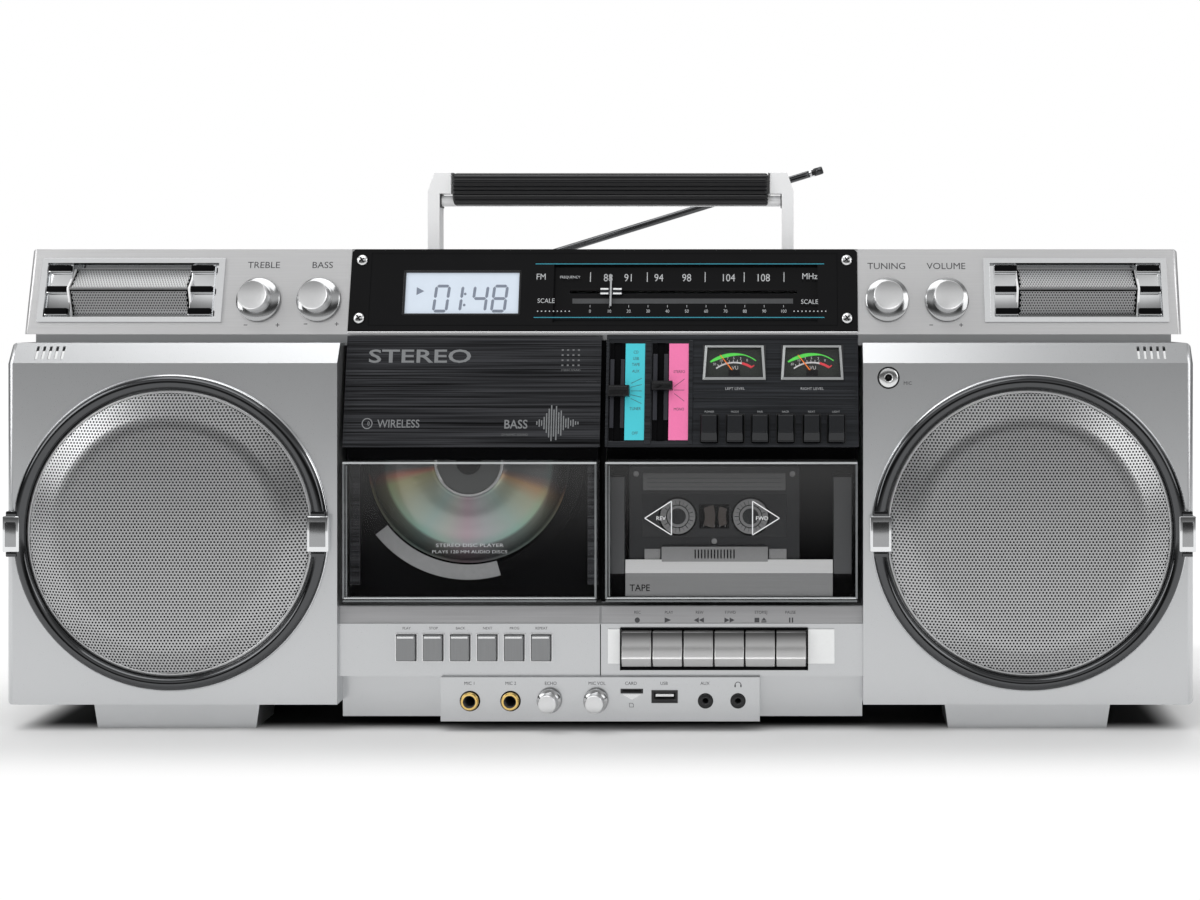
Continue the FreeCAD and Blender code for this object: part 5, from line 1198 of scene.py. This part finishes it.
def footprint(m, hx, hy, soft):
    """Darkens the floor under the set, where no light reaches."""
    nt = m.node_tree
    b = nt.nodes["Principled BSDF"]
    tc = nt.nodes["Texture Coordinate"]
    sp = nt.nodes.new("ShaderNodeSeparateXYZ")
    nt.links.new(tc.outputs["Object"], sp.inputs["Vector"])
    fac = None
    for axis, half in (("X", hx), ("Y", hy)):
        ab = nt.nodes.new("ShaderNodeMath")
        ab.operation = "ABSOLUTE"
        nt.links.new(sp.outputs[axis], ab.inputs[0])
        mr = nt.nodes.new("ShaderNodeMapRange")
        mr.interpolation_type = "SMOOTHSTEP"
        mr.inputs["From Min"].default_value = half - soft
        mr.inputs["From Max"].default_value = half + soft
        mr.inputs["To Min"].default_value = 1.0
        mr.inputs["To Max"].default_value = 0.0
        nt.links.new(ab.outputs[0], mr.inputs["Value"])
        if fac is None:
            fac = mr.outputs["Result"]
        else:
            mm = nt.nodes.new("ShaderNodeMath")
            mm.operation = "MULTIPLY"
            nt.links.new(fac, mm.inputs[0])
            nt.links.new(mr.outputs["Result"], mm.inputs[1])
            fac = mm.outputs[0]
    mx = nt.nodes.new("ShaderNodeMix")
    mx.data_type = "RGBA"
    mx.inputs["B"].default_value = (0.004, 0.004, 0.004, 1)
    old = b.inputs["Base Color"].links[0].from_socket
    nt.links.new(fac, mx.inputs["Factor"])
    nt.links.new(old, mx.inputs["A"])
    nt.links.new(mx.outputs["Result"], b.inputs["Base Color"])


def sweep_white(m):
    """The floor runs out into an evenly lit white sweep away from the set."""
    nt = m.node_tree
    b = nt.nodes["Principled BSDF"]
    tc = nt.nodes["Texture Coordinate"]
    sp = nt.nodes.new("ShaderNodeSeparateXYZ")
    nt.links.new(tc.outputs["Object"], sp.inputs["Vector"])
    parts = []
    for axis, lo, hi in (("X", 0.36, 0.46), ("Y", 0.10, 0.18)):
        ab = nt.nodes.new("ShaderNodeMath")
        ab.operation = "ABSOLUTE"
        nt.links.new(sp.outputs[axis], ab.inputs[0])
        mr = nt.nodes.new("ShaderNodeMapRange")
        mr.interpolation_type = "SMOOTHSTEP"
        mr.inputs["From Min"].default_value = lo
        mr.inputs["From Max"].default_value = hi
        nt.links.new(ab.outputs[0], mr.inputs["Value"])
        parts.append(mr.outputs["Result"])
    mm = nt.nodes.new("ShaderNodeMath")
    mm.operation = "MAXIMUM"
    nt.links.new(parts[0], mm.inputs[0])
    nt.links.new(parts[1], mm.inputs[1])
    nt.links.new(mm.outputs[0], b.inputs["Emission Strength"])
    b.inputs["Emission Color"].default_value = (1, 1, 1, 1)
    mx = nt.nodes.new("ShaderNodeMix")
    mx.data_type = "RGBA"
    mx.inputs["B"].default_value = (0, 0, 0, 1)
    old = b.inputs["Base Color"].links[0].from_socket
    nt.links.new(mm.outputs[0], mx.inputs["Factor"])
    nt.links.new(old, mx.inputs["A"])
    nt.links.new(mx.outputs["Result"], b.inputs["Base Color"])


footprint(FLM, 0.338, 0.070, 0.012)
sweep_white(FLM)

scn = bpy.context.scene
w = bpy.data.worlds.new("studio")
scn.world = w
w.use_nodes = True
nt = w.node_tree
nt.nodes.clear()
out = nt.nodes.new("ShaderNodeOutputWorld")
lp = nt.nodes.new("ShaderNodeLightPath")
geo = nt.nodes.new("ShaderNodeTexCoord")
sx_ = nt.nodes.new("ShaderNodeSeparateXYZ")
nt.links.new(geo.outputs["Generated"], sx_.inputs["Vector"])
mr = nt.nodes.new("ShaderNodeMapRange")
mr.inputs["From Min"].default_value = -1
mr.inputs["From Max"].default_value = 1
nt.links.new(sx_.outputs["Z"], mr.inputs["Value"])
rp_ = nt.nodes.new("ShaderNodeValToRGB")
els = rp_.color_ramp.elements
els[0].position, els[0].color = 0.0, (0.03, 0.03, 0.03, 1)
els[1].position, els[1].color = 1.0, (1.0, 1.0, 1.0, 1)
for p, c in ((0.30, 0.30), (0.44, 0.50), (0.470, 0.32), (0.50, 0.10), (0.54, 0.05), (0.60, 0.08), (0.65, 0.40), (0.69, 0.85), (0.76, 0.70), (0.84, 0.34), (0.90, 0.5)):
    e = els.new(p)
    e.color = (c, c, c, 1)
nt.links.new(mr.outputs["Result"], rp_.inputs["Fac"])
bg1 = nt.nodes.new("ShaderNodeBackground")
nt.links.new(rp_.outputs["Color"], bg1.inputs["Color"])
bg1.inputs["Strength"].default_value = 0.95
bg2 = nt.nodes.new("ShaderNodeBackground")
bg2.inputs["Color"].default_value = (1, 1, 1, 1)
bg2.inputs["Strength"].default_value = 0.62
bg3 = nt.nodes.new("ShaderNodeBackground")
bg3.inputs["Color"].default_value = (1, 1, 1, 1)
bg3.inputs["Strength"].default_value = 1.0
m1 = nt.nodes.new("ShaderNodeMixShader")
nt.links.new(lp.outputs["Is Glossy Ray"], m1.inputs["Fac"])
nt.links.new(bg2.outputs[0], m1.inputs[1])
nt.links.new(bg1.outputs[0], m1.inputs[2])
m2 = nt.nodes.new("ShaderNodeMixShader")
nt.links.new(lp.outputs["Is Camera Ray"], m2.inputs["Fac"])
nt.links.new(m1.outputs[0], m2.inputs[1])
nt.links.new(bg3.outputs[0], m2.inputs[2])
nt.links.new(m2.outputs[0], out.inputs["Surface"])


def area(name, loc, target, size, size_y, power):
    li = bpy.data.lights.new(name, "AREA")
    li.shape = "RECTANGLE"
    li.size, li.size_y, li.energy = size, size_y, power
    o = bpy.data.objects.new(name, li)
    o.location = loc
    o.rotation_euler = (Vector(target) - Vector(loc)).to_track_quat("-Z", "Y").to_euler()
    scn.collection.objects.link(o)
    return o


area("key_top", (-0.35, -0.75, 1.55), (0, 0, 0.15), 1.5, 0.7, 7)
area("fill_right", (1.5, -1.2, 0.75), (0.1, 0, 0.15), 0.7, 1.1, 5)
area("fill_left", (-1.6, -1.0, 0.8), (-0.1, 0, 0.15), 0.6, 1.1, 6)
area("back_top", (0.1, 0.8, 1.4), (0, 0, 0.2), 1.6, 0.5, 7)

cam = bpy.data.cameras.new("camera")
cam.lens, cam.sensor_width, cam.sensor_fit = 46.9, 36.0, "HORIZONTAL"
cam.shift_x, cam.shift_y = -0.1525, -0.1175
co_ = bpy.data.objects.new("camera", cam)
co_.location = (0.1069, FY * 0.001 - 0.914, 0.2476)
co_.rotation_euler = (math.radians(90), 0, 0)
scn.collection.objects.link(co_)
scn.camera = co_
scn.view_settings.view_transform = "Standard"
scn.view_settings.look = "None"
